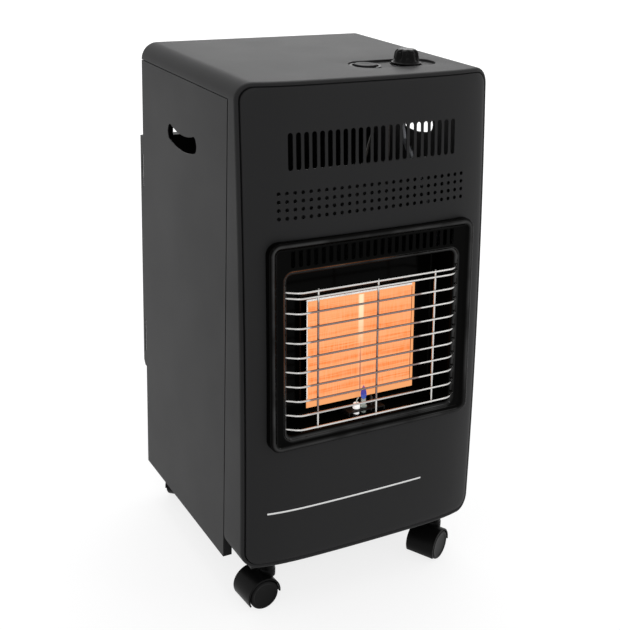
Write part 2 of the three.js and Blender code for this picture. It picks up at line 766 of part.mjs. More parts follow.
function burnerHousing() {
  const b = box;
  const flange = recess.depth + gap;
  let body = block(-b.halfW, b.halfW, b.front + 13, b.back, b.low, b.high)
    .subtract(block(-b.halfW + wall, b.halfW - wall, 0, b.back - wall, b.low + wall, b.high - wall));
  body = body.add(block(-b.halfW - 9, b.halfW + 9, flange, flange + wall, b.low - 8, b.high + 8)
    .subtract(block(-b.halfW + 1, b.halfW - 1, 0, b.back, b.low + 1, b.high - 1)));
  // Arm that holds the injector in line with the mixing tube.
  body = join(body,
    block(b.halfW + 8, injector.arm, flange, flange + wall, tube.h - 15, tube.h + 15),
    block(injector.arm - wall, injector.arm, flange, tube.depth + 10, tube.h - 15, tube.h + 15));
  body = body.subtract(bar('x', tube.radius + gap, b.halfW - 5, b.halfW + 5, tube.depth, tube.h, 12));
  return body.subtract(bar('x', injector.radius + gap, injector.arm - 10, injector.arm + 10, tube.depth, tube.h, 12));
}

// Ceramic tile with a chamfered edge.
function plaque(side) {
  const outer = box.halfW - wall - gap;
  const x0 = side < 0 ? -outer : 0.25;
  const x1 = side < 0 ? -0.25 : outer;
  const low = box.low + wall + gap;
  const high = box.high - wall - gap;
  const f = burner.front + wall + gap;
  const face = roundedShape(x0 + 0.8, x1 - 0.8, low + 0.8, high - 0.8, 1);
  const body = plate(roundedShape(x0, x1, low, high, 1.5), 'xz', f + 0.8, f + 12.6, 1);
  return body.add(plate(face, 'xz', f, f + 2, 1));
}

function mixingTube() {
  const profile = [
    [7.8, 0], [9, 0], [9, 30], [12.5, 38], [12.5, 40], [11.3, 40], [7.8, 31], [7.8, 0],
  ];
  const body = turned(profile, 12);
  return body.rotate([0, 90, 0]).translate([box.halfW - 3, tube.depth, tube.h]);
}

function gasInjector() {
  const r = injector.radius;
  const end = injector.arm;
  const profile = [[0, 0], [1.5, 0], [r - 1, 5], [r, 5], [r, 10], [0, 10]];
  const nozzle = turned(profile, 12).rotate([0, 90, 0]).translate([end - 6, tube.depth, tube.h]);
  const nut = bar('x', injector.nut, end + gap, end + 9.5, tube.depth, tube.h, 6);
  return join(nozzle, nut, bar('x', r, end - 0.5, injector.end, tube.depth, tube.h, 12));
}

// ---- gas valve: its heights hang from the recess's floor ---------------------------
const valve = { top: floorTop + gap - knobTravel - 1, collar: 6, half: 13 };
valve.high = valve.top - 10.7;
valve.low = valve.high - 31;
valve.outlet = valve.low - 10;
valve.inlet = valve.low + 12;
const spindle = { radius: 3, low: valve.inlet + 7, high: floorTop + 10.6 };
const nippleRadius = 5;

// ---- pilot: stands on the recess's floor under the middle of the burner ------------
const shelf = -106;
const pilot = { electrode: -10.3, burner: 0, sensor: 11.4, foot: -121 };

function pilotBracket() {
  let body = join(
    block(-26, 26, pilotDepth - 9, pilotDepth + 9, shelf, shelf + 1.4),
    block(-26, -24.6, pilotDepth - 9, pilotDepth + 9, -110, shelf + 1),
    block(24.6, 26, pilotDepth - 9, pilotDepth + 9, -110, shelf + 1),
  );
  body = body.subtract(bar('z', 3.2 + gap, -130, -90, pilot.burner, pilotDepth, 8));
  body = body.subtract(bar('z', 3.7 + gap, -130, -90, pilot.electrode, pilotDepth, 8));
  return body.subtract(bar('z', 1.9 + gap, -130, -90, pilot.sensor, pilotDepth, 8));
}

function pilotBurner() {
  const body = turned([
    [0, pilot.foot], [3.2, pilot.foot], [3.2, shelf + 1.4 + gap], [4.4, shelf + 1.4 + gap], [4.4, shelf + 3.5],
    [3.2, shelf + 3.5], [3.2, -93], [2.2, -92], [1.6, -92], [1.6, -98], [0, -98],
  ], 8).translate([pilot.burner, pilotDepth, 0]);
  return body;
}

function pilotElectrode() {
  const ceramic = turned([
    [0, pilot.foot + 4], [3.7, pilot.foot + 4], [3.7, shelf + 1.4 + gap], [4.6, shelf + 1.4 + gap], [4.6, shelf + 4],
    [3.7, shelf + 5], [3.7, -98], [2.4, -96.5], [0, -96.5],
  ], 8).translate([pilot.electrode, pilotDepth, 0]);
  const x = pilot.electrode;
  const tip = rod([[x, pilotDepth, -99], [x + 0.4, pilotDepth, -94], [x + 2.4, pilotDepth + 0.6, -91.2]], 0.9, 5, 6);
  return join(ceramic, tip);
}

// World point for a place in the burner group.
function fromBurner(x, d, h) {
  const c = Math.cos(tilt);
  const s = Math.sin(tilt);
  return [x, burnerY + d * c + h * s, burnerZ - d * s + h * c];
}

function thermocouple() {
  const foot = fromBurner(pilot.sensor, pilotDepth, pilot.foot - 2);
  const head = fromBurner(pilot.sensor, pilotDepth, -94);
  const stem = rod([head, foot], 1.9, 1, 8, true);
  const tip = rod([fromBurner(pilot.sensor, pilotDepth, -95), fromBurner(pilot.sensor - 1, pilotDepth, -90.5)], 1.2, 1, 8, true);
  const lead = rod([
    fromBurner(pilot.sensor, pilotDepth, pilot.foot - 1),
    [foot[0], foot[1] + 1, foot[2] - 8],
    [foot[0] + 4, foot[1] + 14, foot[2] - 14],
    [30, partitionY - 22, burnerZ - 130],
    [44, partitionY - 6, burnerZ - 52],
    [52, partitionY - 5, burnerZ + 118],
    [57, partitionY - 6, partitionTop - 3],
    [62, partitionY + 4, partitionTop + 42],
    [knobX - 20, controlY - 2, valve.inlet - 6],
    [knobX - 17.5, controlY, valve.inlet - 4],
    [knobX - valve.half - 0.6, controlY, valve.inlet - 4],
  ], 1.1, 18, 4);
  return join(stem, tip, lead);
}

function pilotPipe() {
  const foot = fromBurner(pilot.burner, pilotDepth, pilot.foot - gap);
  return rod([
    foot,
    [foot[0], foot[1] + 0.6, foot[2] - 9],
    [foot[0] - 5, foot[1] + 12, foot[2] - 16],
    [-14, partitionY - 22, burnerZ - 134],
    [-10, partitionY - 6, burnerZ - 52],
    [8, partitionY - 5, burnerZ + 108],
    [20, partitionY - 6, partitionTop - 3],
    [44, partitionY + 8, partitionTop + 52],
    [knobX - 26, controlY + 4.5, valve.inlet + 9],
    [knobX - 20, controlY + 5.5, valve.inlet + 11],
    [knobX - valve.half - 0.6, controlY + 5.5, valve.inlet + 11],
  ], 1.9, 18, 6);
}

function gasValve() {
  const v = valve;
  const top = v.top - gap - sheet;
  let body = join(
    bar('z', 11, v.high - 1, top, knobX, controlY, 12),
    block(knobX - v.half, knobX + v.half, controlY - 12, controlY + 12, v.low, v.high),
    bar('z', 7, v.outlet, v.low + 1, knobX, controlY, 12),
    bar('y', 8, controlY + 11, controlY + 22, knobX, v.inlet, 12),
  );
  body = body.add(bar('z', v.collar, top - 1, v.top, knobX, controlY, 8));
  body = body.subtract(bar('z', spindle.radius + gap, v.inlet + 2, v.top + 20, knobX, controlY, 8));
  return body.subtract(bar('y', nippleRadius + gap, controlY + 16, controlY + 30, knobX, v.inlet, 12));
}

// Hat-shaped bracket that hangs the valve under the recess.
function valveBracket() {
  const high = valve.top;
  const lip = floorTop - sheet - gap;
  const [x0, x1] = [knobX - 22, knobX + 22];
  const [y0, y1] = [controlY - 16, controlY + 16];
  return join(
    block(x0, x1, y0, y1, high - sheet, high),
    block(x0, x0 + sheet, y0, y1, high - sheet, lip),
    block(x1 - sheet, x1, y0, y1, high - sheet, lip),
    block(x0, x0 + 2.6, y0, y1, lip - sheet, lip),
    block(x1 - 2.6, x1, y0, y1, lip - sheet, lip),
  ).subtract(bar('z', valve.collar + gap, high - 20, high + 20, knobX, controlY, 8));
}

function valveSpindle() {
  return bar('z', spindle.radius, spindle.low, spindle.high, knobX, controlY, 8);
}

// Round knob: low skirt, fluted grip.
function controlKnob() {
  const foot = floorTop + gap;
  let body = turned([
    [0, foot], [18.5, foot], [18.5, foot + 2.2], [17.6, foot + 3.2], [14.6, foot + 4.4],
    [13.6, foot + 7], [13.1, foot + 17.2], [12.2, foot + 18.6], [0, foot + 19.2],
  ], 20).translate([knobX, controlY, 0]);
  for (let i = 0; i < 10; i += 1) {
    const angle = (Math.PI * 2 * i) / 10;
    const [x, y] = [knobX + 15 * Math.cos(angle), controlY + 15 * Math.sin(angle)];
    body = body.subtract(bar('z', 2.2, foot + 6.5, foot + 30, x, y, 6));
  }
  return body.subtract(bar('z', spindle.radius + gap, foot - 5, spindle.high + 1, knobX, controlY, 8));
}

function inletNipple() {
  const start = controlY + 16.5;
  const r = nippleRadius;
  const barbs = [[0, 0], [r, 0], [r, 10], [r + 2, 11], [r + 2, 15], [r, 16]];
  for (let i = 0; i < 2; i += 1) barbs.push([5.4, 18 + i * 5], [4.2, 22 + i * 5]);
  barbs.push([4, 30], [0, 30]);
  return turned(barbs, 12).rotate([-90, 0, 0]).translate([knobX, start, valve.inlet]);
}

const pipeRadius = 4;

function gasPipe() {
  const start = fromBurner(injector.end + gap, tube.depth, tube.h);
  // Half of the room between the injector and the side panel.
  const room = (halfWidth - 2 * (sheet + gap) - pipeRadius - start[0]) / 2;
  const over = partitionTop;
  const front = partitionY - gap - pipeRadius;
  return rod([
    start,
    [start[0] + room * 0.5, start[1], start[2]],
    [start[0] + room, start[1] + 3, start[2] + 12],
    [start[0] + room, front - 10, burnerZ - 12],
    [start[0] + room - 3, front - 5, burnerZ + 58],
    [(start[0] + knobX) / 2, front - 4, burnerZ + 148],
    [knobX + 5, front - 2, over + 5],
    [knobX + 1, front + 13, over + 26],
    [knobX, controlY, over + 46],
    [knobX, controlY, valve.outlet - gap],
  ], pipeRadius, 18, 8);
}

// ---- casters --------------------------------------------------------------------------
// Drawn at the swivel axis: the wheels trail along +X and turn about a line along Y.
const wheelFace = 16;
const wheelRadius = caster.wheel / Math.cos(Math.PI / wheelFace);
const axle = { radius: 2.5, half: 18.4 };
const pin = 4; // radius of the swivel pin
const pinSides = 12;
const neckTop = baseZ - gap - 1.8 - gap;
const socketTop = frontBottom - 2 * gap; // the front sockets end under the hood's ring
const pinTop = socketTop - 1.2;

function casterYoke() {
  const t = caster.trail;
  const inner = caster.wheel + 1.5;
  const outer = inner + 2;
  const shell = new THREE.Shape();
  const from = THREE.MathUtils.degToRad(-28);
  const to = THREE.MathUtils.degToRad(182);
  shell.absarc(t, caster.wheel, outer, from, to);
  shell.absarc(t, caster.wheel, inner, to, from, true);
  const web = new THREE.Shape();
  web.absarc(t, caster.wheel, inner + 0.6, THREE.MathUtils.degToRad(-30), THREE.MathUtils.degToRad(190));
  let body = plate(shell, 'xz', -caster.halfTrack, caster.halfTrack, 4);
  body = join(body,
    plate(web, 'xz', -caster.web, caster.web, 4),
    bar('z', 10, 40, neckTop, 0, 0, 12),
    bar('z', pin, neckTop - 2, pinTop, 0, 0, pinSides),
    bar('y', 6, -caster.web, caster.web, t, caster.wheel, 8));
  return body.subtract(bar('y', axle.radius + gap, -30, 30, t, caster.wheel, 8));
}

function casterWheel(side) {
  const inside = caster.web + 0.6;
  const outside = caster.halfTrack;
  const profile = [
    [0, outside - 0.8], [12, outside - 0.8], [13, outside], [wheelRadius - 2, outside - 0.2], [wheelRadius, outside - 2],
    [wheelRadius, inside], [axle.radius + gap, inside],
    [axle.radius + gap, axle.half + gap], [0, axle.half + gap],
  ];
  const body = turned(profile, wheelFace).rotate([0, 0, 180 / wheelFace]).rotate([side > 0 ? -90 : 90, 0, 0]);
  return body.translate([caster.trail, 0, caster.wheel]);
}

function casterSocket() {
  const flangeTop = baseZ - gap;
  const body = join(
    bar('z', socket.flange, flangeTop - 1.8, flangeTop, 0, 0, 16),
    bar('z', socket.radius, flangeTop - 1, socketTop, 0, 0, 12));
  // The bore clears the pin at every turn: its flats, not its corners, are the gap away.
  const bore = (pin + gap) / Math.cos(Math.PI / pinSides);
  return body.subtract(bar('z', bore, 40, pinTop + gap, 0, 0, pinSides));
}

function addCaster(place, { x, y, turn }) {
  const group = new THREE.Group();
  group.position.set(x, y, 0);
  cabinet.add(group);
  piece(`caster_${place}_socket`, casterSocket(), 'zinc', group);
  const swivel = new THREE.Group();
  swivel.rotation.z = THREE.MathUtils.degToRad(turn);
  group.add(swivel);
  piece(`caster_${place}_yoke`, casterYoke(), 'plastic', swivel);
  piece(`caster_${place}_axle`, bar('y', axle.radius, -axle.half, axle.half, caster.trail, caster.wheel, 8), 'zinc', swivel);
  piece(`caster_${place}_wheel_a`, casterWheel(1), 'wheel', swivel);
  piece(`caster_${place}_wheel_b`, casterWheel(-1), 'wheel', swivel);
}

// ---- assembly ----------------------------------------------------------------------------
piece('hood', hood(), 'charcoal');
piece('front_panel', frontPanel(), 'charcoal');
piece('side_panel_left', sidePanel(-1), 'charcoal');
piece('side_panel_right', sidePanel(1), 'charcoal');
piece('base_pan', basePan(), 'charcoal');
piece('rear_cover', rearCover(), 'charcoal');
piece('partition', partition(), 'zinc');
piece('burner_bezel', burnerBezel(), 'enamel', burnerGroup);
piece('wire_guard', wireGuard(), 'chrome', burnerGroup);
piece('burner_frame', burnerFrame(), 'stainless', burnerGroup);
piece('burner_housing', burnerHousing(), 'zinc', burnerGroup);
piece('ceramic_plaque_left', plaque(-1), 'ceramic', burnerGroup);
piece('ceramic_plaque_right', plaque(1), 'ceramic', burnerGroup);
piece('mixing_tube', mixingTube(), 'zinc', burnerGroup);
piece('gas_injector', gasInjector(), 'brass', burnerGroup);
piece('pilot_bracket', pilotBracket(), 'stainless', burnerGroup);
piece('pilot_burner', pilotBurner(), 'stainless', burnerGroup);
piece('pilot_electrode', pilotElectrode(), 'porcelain', burnerGroup);
piece('thermocouple', thermocouple(), 'copper');
piece('pilot_pipe', pilotPipe(), 'copper');
piece('gas_pipe', gasPipe(), 'copper');
piece('gas_valve', gasValve(), 'brass');
piece('valve_bracket', valveBracket(), 'zinc');
piece('valve_spindle', valveSpindle(), 'zinc');
piece('control_knob', controlKnob(), 'plastic');
piece('igniter_body', igniterBody(), 'plastic');
piece('ignition_button', ignitionButton(), 'button');
piece('inlet_nipple', inletNipple(), 'brass');
for (const [place, where] of Object.entries(casterPlaces)) addCaster(place, where);

// The origin goes to the floor under the middle of the whole heater.
const bounds = new THREE.Box3().setFromObject(cabinet, true);
cabinet.position.y = -(bounds.min.y + bounds.max.y) / 2;

export default heater;
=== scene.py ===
"""Portable gas cabinet heater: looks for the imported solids, laid out as an add-on."""

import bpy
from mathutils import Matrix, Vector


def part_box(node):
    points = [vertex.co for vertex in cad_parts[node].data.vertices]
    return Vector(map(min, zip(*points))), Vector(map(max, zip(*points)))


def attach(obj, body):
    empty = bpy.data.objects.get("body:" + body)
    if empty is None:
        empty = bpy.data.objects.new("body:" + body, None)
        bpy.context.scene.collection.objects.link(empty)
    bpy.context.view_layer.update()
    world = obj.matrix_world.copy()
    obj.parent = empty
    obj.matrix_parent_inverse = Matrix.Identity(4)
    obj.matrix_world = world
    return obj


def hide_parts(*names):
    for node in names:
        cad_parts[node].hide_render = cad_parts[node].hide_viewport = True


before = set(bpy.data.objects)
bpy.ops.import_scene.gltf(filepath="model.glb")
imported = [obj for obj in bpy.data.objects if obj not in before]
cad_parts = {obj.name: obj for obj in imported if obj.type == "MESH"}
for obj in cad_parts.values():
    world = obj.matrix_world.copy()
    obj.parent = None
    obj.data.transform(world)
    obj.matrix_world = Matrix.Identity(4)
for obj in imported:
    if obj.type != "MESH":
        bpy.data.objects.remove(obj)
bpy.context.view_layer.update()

import math

import bmesh
import bpy
import numpy as np
from bpy.props import FloatProperty, FloatVectorProperty, IntProperty, PointerProperty
from mathutils import Matrix, Vector
from mathutils.geometry import delaunay_2d_cdt

bl_info = {
    "name": "Gas Cabinet Heater",
    "version": (1, 0, 0),
    "blender": (4, 5, 0),
    "location": "View3D > Sidebar > Heater",
    "description": "Builds the sheet metal, burner, guard, controls and casters of a gas cabinet heater",
    "category": "Add Mesh",
}

# Shapes are worked out in millimetres, in the frame of the part's source. SHIFT moves them along Y
# into the shared frame, and REAR is the rear face's depth in the source.
MM = 0.001
REAR = 170.8
SHIFT = (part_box("hood")[1][1] / MM) - REAR
# The front: its pillow across, its lean back with height, and the pitch of its openings.
PILLOW = (3.9, 12.9)
LEAN = (10.0, 26.5)
PITCH = 10.0
SLOT_COUNT, SLOT_LOW, SLOT_HIGH = 23, 571.0, 613.8
HOLE_ROWS, HOLE_COLUMNS, HOLE_TOP, HOLE_STEP = 4, 26, 545.7, 9.62
STRIPE_X, STRIPE_Z = (-140.0, 79.0), 147.2
# The control recess in the top: its end circles' centres across, its middle line and its radius.
TRAY, TRAY_DEPTH = (33.5, 100.0, -63.0, 25.0), 3.0
KNOB_HOLE, BUTTON_HOLE = 20.0, 15.4
KNOB_FOOT, KNOB_TALL = 667.7, 19.2
# The burner: its middle and its lean, then places in its own frame.
TILT = math.radians(3.6)
BURNER = (0.0, -160.0, 362.0)
LOUVRE_HALF, LOUVRE_LOW, LOUVRE_HIGH = 2.6, 97.5, 119.5
WINDOW_HALF, WINDOW_LOW, WINDOW_HIGH = 78.2, -95.2, 46.8
GUARD_TOP, GUARD_SECOND, GUARD_STEP, GUARD_LOW = 69.5, 62.5, 18.2, -103.6
GUARD_UPRIGHTS = (-81.5, 0.0, 81.5)
PILOT_DEPTH, ELECTRODE_X = 21.0, -10.3
# The casters: each swivel axis across and in depth, and its turn in degrees.
CASTERS = {"front_left": (-121, -128, 184), "front_right": (135, -128, 208),
           "rear_left": (-132, 140, 48), "rear_right": (132, 140, 148)}


# ---- sizes and colours that a user would change ---------------------------------------
def length(name, text, value):
    return FloatProperty(name=name, description=text, default=value * MM, unit="LENGTH", precision=4)


def colour(name, text, value):
    return FloatVectorProperty(name=name, description=text, default=value, size=3, subtype="COLOR",
                               min=0, max=1)


class HeaterCabinetSizes(bpy.types.PropertyGroup):
    half_width: length("Half width", "Half of the cabinet's width", 170)
    top: length("Top", "Height of the top sheet", 670.4)
    low: length("Ring bottom", "Lower edge of the hood's front ring", 72)
    edge: length("Edge radius", "Rounding of the hood's upper edges", 21)
    seam_y: length("Seam", "Depth of the upright seam beside the front ring", -99.9)
    seam_z: length("Skirt", "Height of the level seam under the hood", 648.5)
    rear: length("Rear", "Depth of the rear face", REAR)
    front: length("Front", "Foremost line of the front", -170.8)
    sheet: length("Sheet", "Thickness of the steel sheet", 1.2)
    inset: length("Panel inset", "Width of the ring's lip round the front panel", 5.8)
    panel_radius: length("Panel corner", "Corner radius of the front panel", 16)
    slot_width: length("Slot width", "Width of an air slot", 6.2)
    hole_radius: length("Hole radius", "Radius of a perforation", 2.4)


class HeaterBurnerSizes(bpy.types.PropertyGroup):
    half_w: length("Bezel half width", "Half width of the bezel", 141.5)
    half_h: length("Bezel half height", "Half height of the bezel", 129.5)
    radius: length("Bezel corner", "Corner radius of the bezel", 15)
    recess_w: length("Recess half width", "Half width of the recess", 121.5)
    recess_low: length("Recess bottom", "Lower edge of the recess", -118.5)
    recess_high: length("Recess top", "Upper edge of the recess", 93)
    recess_depth: length("Recess depth", "Depth of the recess's back plate", 44.4)
    wire: length("Wire radius", "Radius of the guard's wires", 1.3)
    proud: length("Guard distance", "How far the guard stands in front of the bezel", 11)
    bend: length("Guard bend", "Where the guard's wires turn back", 106.7)
    end: length("Guard end", "Where the guard's wires end", 119.4)


class HeaterControlSizes(bpy.types.PropertyGroup):
    knob_x: length("Knob", "Place of the knob across the top", 88)
    button_x: length("Button", "Place of the button across the top", 29.5)
    line_y: length("Control line", "Depth of the knob's and the button's axes", -61.5)
    flutes: IntProperty(name="Flutes", description="Flutes round the knob's grip", default=8, min=3, max=30)


class HeaterCasterSizes(bpy.types.PropertyGroup):
    radius: length("Wheel radius", "Radius of the caster wheels", 20)
    trail: length("Trail", "Distance from the swivel axis to the axle", 14.5)
    half_track: length("Half track", "Half of the caster's width over its wheels", 20.5)


class HeaterFinishes(bpy.types.PropertyGroup):
    coat: colour("Powder coat", "Colour of the sheet metal's powder coat", (0.0105, 0.0105, 0.0110))
    enamel: colour("Enamel", "Colour of the bezel's gloss enamel", (0.0018, 0.0018, 0.0016))
    glow: colour("Glow", "Colour of the burning ceramic", (1.0, 0.365, 0.140))
    band_colour: colour("Wire bands", "Colour of the ceramic's darker bands", (0.86, 0.205, 0.036))
    strength: FloatProperty(name="Glow strength", description="Brightness of the burning ceramic",
                            default=1.12, min=0)


# ---- shape helpers ---------------------------------------------------------------------
def mm(value):
    """Millimetres of a length property."""
    return value / MM


def xyz(x, y, z):
    """Points from three arrays or numbers."""
    return np.stack(np.broadcast_arrays(x, y, z), axis=-1)


class Skin:
    """Grids and cut sheets gathered into one mesh, in millimetres."""

    def __init__(self):
        self.points, self.faces, self.count = [], [], 0

    def add(self, points, faces):
        points = np.asarray(points, float).reshape(-1, 3)
        self.points.append(points)
        self.faces += (np.asarray(faces) + self.count).tolist()
        self.count += len(points)
        return self

    def grid(self, points, wrap_u=False, wrap_v=False):
        """Quads over an array of points with two indices, closed along either one."""
        nu, nv = points.shape[:2]
        i, j = np.meshgrid(np.arange(nu if wrap_u else nu - 1), np.arange(nv if wrap_v else nv - 1),
                           indexing="ij")
        k, m = (i + 1) % nu, (j + 1) % nv
        quads = np.stack([i * nv + j, k * nv + j, k * nv + m, i * nv + m], axis=-1).reshape(-1, 4)
        return self.add(points, quads)

    def fan(self, ring, tip):
        """Triangles from a closed ring of points to its tip."""
        n = len(ring)
        i = np.arange(n)
        return self.add(np.vstack([ring, [tip]]), np.stack([i, (i + 1) % n, np.full(n, n)], axis=1))

    def moved(self, change):
        """Every point passed through a function of an array of points."""
        self.points = [change(np.vstack(self.points))]
        return self

    def plate(self, outline, holes, spacing, place):
        """A sheet cut flat, then set in space by a function of its two coordinates."""
        flat, triangles = cut_sheet(outline, holes, spacing)
        return self.add(place(flat[:, 0], flat[:, 1]), triangles)


def burner_place(points):
    """From the burner's frame (across, back, up) to the heater's: turned about X by the tilt."""
    x, d, h = points[..., 0], points[..., 1], points[..., 2]
    c, s = math.cos(TILT), math.sin(TILT)
    return np.stack([x, BURNER[1] + d * c + h * s, BURNER[2] - d * s + h * c], axis=-1)


def put(name, data):
    """A new object in the scene."""
    piece = bpy.data.objects.new(name, data)
    bpy.context.scene.collection.objects.link(piece)
    return piece


def make(name, skin, look, body="cabinet", slot=None, replaces=(), wall=0.0, sharp=35.0, weld=True):
    """A finished object: doubles merged, faces outward, sharp edges by angle, then its wall."""
    points = np.vstack(skin.points)
    points = (points + (0, SHIFT, 0)) * MM
    mesh = bpy.data.meshes.new(name)
    mesh.from_pydata(points.tolist(), [], skin.faces)
    piece = put(name, mesh)
    bm = bmesh.new()
    bm.from_mesh(mesh)
    if weld:
        bmesh.ops.remove_doubles(bm, verts=bm.verts, dist=2e-6)
        bmesh.ops.dissolve_degenerate(bm, dist=1e-7, edges=bm.edges)
    bmesh.ops.recalc_face_normals(bm, faces=bm.faces)
    bm.to_mesh(mesh)
    bm.free()
    mesh.polygons.foreach_set("use_smooth", np.ones(len(mesh.polygons), bool))
    mesh.set_sharp_from_angle(angle=math.radians(sharp))
    # The free borders of a sheet stay crisp once it has its thickness.
    used, crisp = np.zeros(len(mesh.loops), np.int32), np.zeros(len(mesh.edges), bool)
    mesh.loops.foreach_get("edge_index", used)
    mesh.edges.foreach_get("use_edge_sharp", crisp)
    crisp |= np.bincount(used, minlength=len(mesh.edges)) == 1
    mesh.edges.foreach_set("use_edge_sharp", crisp)
    mesh.materials.append(LOOKS[look])
    if wall:
        solid = piece.modifiers.new("wall", "SOLIDIFY")
        solid.thickness = wall * MM
        solid.offset = -1.0
    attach(piece, body)
    if replaces:
        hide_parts(*replaces)
    return piece


def arc(cx, cy, r, start, end, n):
    """Points on a circle from one angle to another, in degrees."""
    a = np.radians(np.linspace(start, end, n + 1))
    return np.stack([cx + r * np.cos(a), cy + r * np.sin(a)], axis=1)


def bend(p0, p1, p2, p3, n):
    """Cubic curve between two points with two handles."""
    t = np.linspace(0, 1, n + 1)[:, None]
    p0, p1, p2, p3 = map(np.array, (p0, p1, p2, p3))
    return (1 - t) ** 3 * p0 + 3 * t * (1 - t) ** 2 * p1 + 3 * t * t * (1 - t) * p2 + t ** 3 * p3


def strung(*parts):
    """Curves joined end to end, points that lie on each other kept once."""
    points = np.vstack([np.atleast_2d(p) for p in parts])
    keep = np.append(True, np.linalg.norm(np.diff(points, axis=0), axis=1) > 1e-4)
    return points[keep]


def rounded_path(x0, x1, z0, z1, r, corner=12, spacing=12.0):
    """Closed path round a rounded rectangle: rows of x, z and the outward normal's x and z."""
    rows = []
    for cx, cz, start in ((x1 - r, z0 + r, -90), (x1 - r, z1 - r, 0), (x0 + r, z1 - r, 90),
                          (x0 + r, z0 + r, 180)):
        a = np.radians(start + np.linspace(0, 90, corner + 1))
        n = np.stack([np.cos(a), np.sin(a)], axis=1)
        n[np.abs(n) < 1e-9] = 0
        rows.append(np.hstack([np.array([cx, cz]) + r * n, n]))
    path = []
    for k in range(4):
        here, after = rows[k], rows[(k + 1) % 4]
        path.append(here)
        a, b = here[-1], after[0]
        count = max(1, int(round(np.linalg.norm(b[:2] - a[:2]) / spacing)))
        t = np.linspace(0, 1, count + 1)[1:-1, None]
        path.append(np.hstack([a[:2] + (b[:2] - a[:2]) * t, np.repeat(a[None, 2:], len(t), axis=0)]))
    return np.vstack(path)


def swept(path, section, level=None):
    """Profile carried round a path: section rows are (inboard, back), level(x, z) adds depth."""
    inboard, back = section[:, 0], section[:, 1]
    x = path[:, None, 0] - path[:, None, 2] * inboard
    z = path[:, None, 1] - path[:, None, 3] * inboard
    y = np.broadcast_to(back, x.shape)
    if level is not None:
        y = y + level(path[:, None, 0] + 0 * x, path[:, None, 1] + 0 * z)
    return np.stack([x, y, z], axis=-1)


def slot_loop(x, half, low, high, n=6):
    """Closed outline of an upright slot with round ends."""
    return np.vstack([arc(x, low + half, half, 180, 360, n), arc(x, high - half, half, 0, 180, n)])


def row_of(count):
    """Places across of a row of openings on the common pitch, about the middle."""
    return (np.arange(count) - (count - 1) / 2) * PITCH


def circle(x, z, r, n=16):
    """Closed ring of points."""
    return arc(x, z, r, 0, 360 - 360 / n, n - 1)


def cut_sheet(outline, holes, spacing=12.0):
    """Flat sheet inside an outline and outside its holes: points and triangles.

    The triangles are a constrained Delaunay net over the loops and a square lattice, and a
    triangle stays where a ray from its middle crosses the loops an odd number of times."""
    loops = [outline, *holes]
    sizes = [len(loop) for loop in loops]
    border = np.vstack(loops)
    starts = np.cumsum([0, *sizes[:-1]])
    edges = [(int(s + k), int(s + (k + 1) % n)) for s, n in zip(starts, sizes) for k in range(n)]
    a = border
    b = border[[e[1] for e in edges]]

    def inside(points):
        odd = np.zeros(len(points), bool)
        for block in np.array_split(np.arange(len(points)), max(1, len(points) // 2000)):
            p = points[block][:, None]
            crosses = (a[None, :, 1] > p[..., 1]) != (b[None, :, 1] > p[..., 1])
            with np.errstate(divide="ignore", invalid="ignore"):
                at = a[None, :, 0] + (p[..., 1] - a[None, :, 1]) * (b - a)[None, :, 0] / (b - a)[None, :, 1]
            odd[block] = (np.sum(crosses & (p[..., 0] < at), axis=1) % 2) == 1
        return odd

    low, high = outline.min(axis=0), outline.max(axis=0)
    across, up = (np.arange(start + spacing / 2, end, spacing) for start, end in zip(low, high))
    lattice = np.stack(np.meshgrid(across, up), axis=-1).reshape(-1, 2)
    lattice = lattice[inside(lattice)]
    if len(lattice):
        near = np.array([np.min(np.sum((border - p) ** 2, axis=1)) for p in lattice])
        lattice = lattice[near > (spacing * 0.3) ** 2]
    points = np.vstack([border, lattice])
    net = delaunay_2d_cdt([Vector(p) for p in points], edges, [], 0, 1e-4)
    flat = np.array([v[:] for v in net[0]])
    triangles = np.array(net[2])
    triangles = triangles[inside(flat[triangles].mean(axis=1))]
    return flat, triangles


def tube(line, radius, sides=12):
    """Round bar along a line of points: rings square to the line, turned as little as possible."""
    line = np.asarray(line, float)
    run = np.gradient(line, axis=0)
    run /= np.linalg.norm(run, axis=1)[:, None]
    side = np.cross(run[0], (0, 0, 1.0) if abs(run[0][2]) < 0.9 else (1.0, 0, 0))
    frames = []
    for t in run:
        side = side - t * side.dot(t)
        side /= np.linalg.norm(side)
        frames.append((side, np.cross(t, side)))
    frames = np.array(frames)
    a = np.linspace(0, 2 * math.pi, sides, endpoint=False)
    radius = np.broadcast_to(np.asarray(radius, float), (len(line),))
    ring = frames[:, None, 0] * np.cos(a)[None, :, None] + frames[:, None, 1] * np.sin(a)[None, :, None]
    return line[:, None] + ring * radius[:, None, None]


def add_tube(skin, line, radius, sides=12, round_ends=0.0):
    """A closed round bar, its ends domed by a part of its radius."""
    rings = tube(line, radius, sides)
    skin.grid(rings, wrap_v=True)
    line = np.asarray(line, float)
    for end, before in ((0, 1), (-1, -2)):
        out = line[end] - line[before]
        out /= np.linalg.norm(out)
        middle = rings[end].mean(axis=0)
        reach = np.linalg.norm(rings[end][0] - middle)
        dome = middle + (rings[end] - middle) * 0.75 + out * reach * round_ends * 0.7
        skin.grid(np.stack([rings[end], dome]), wrap_v=True)
        skin.fan(dome, middle + out * reach * round_ends)
    return skin


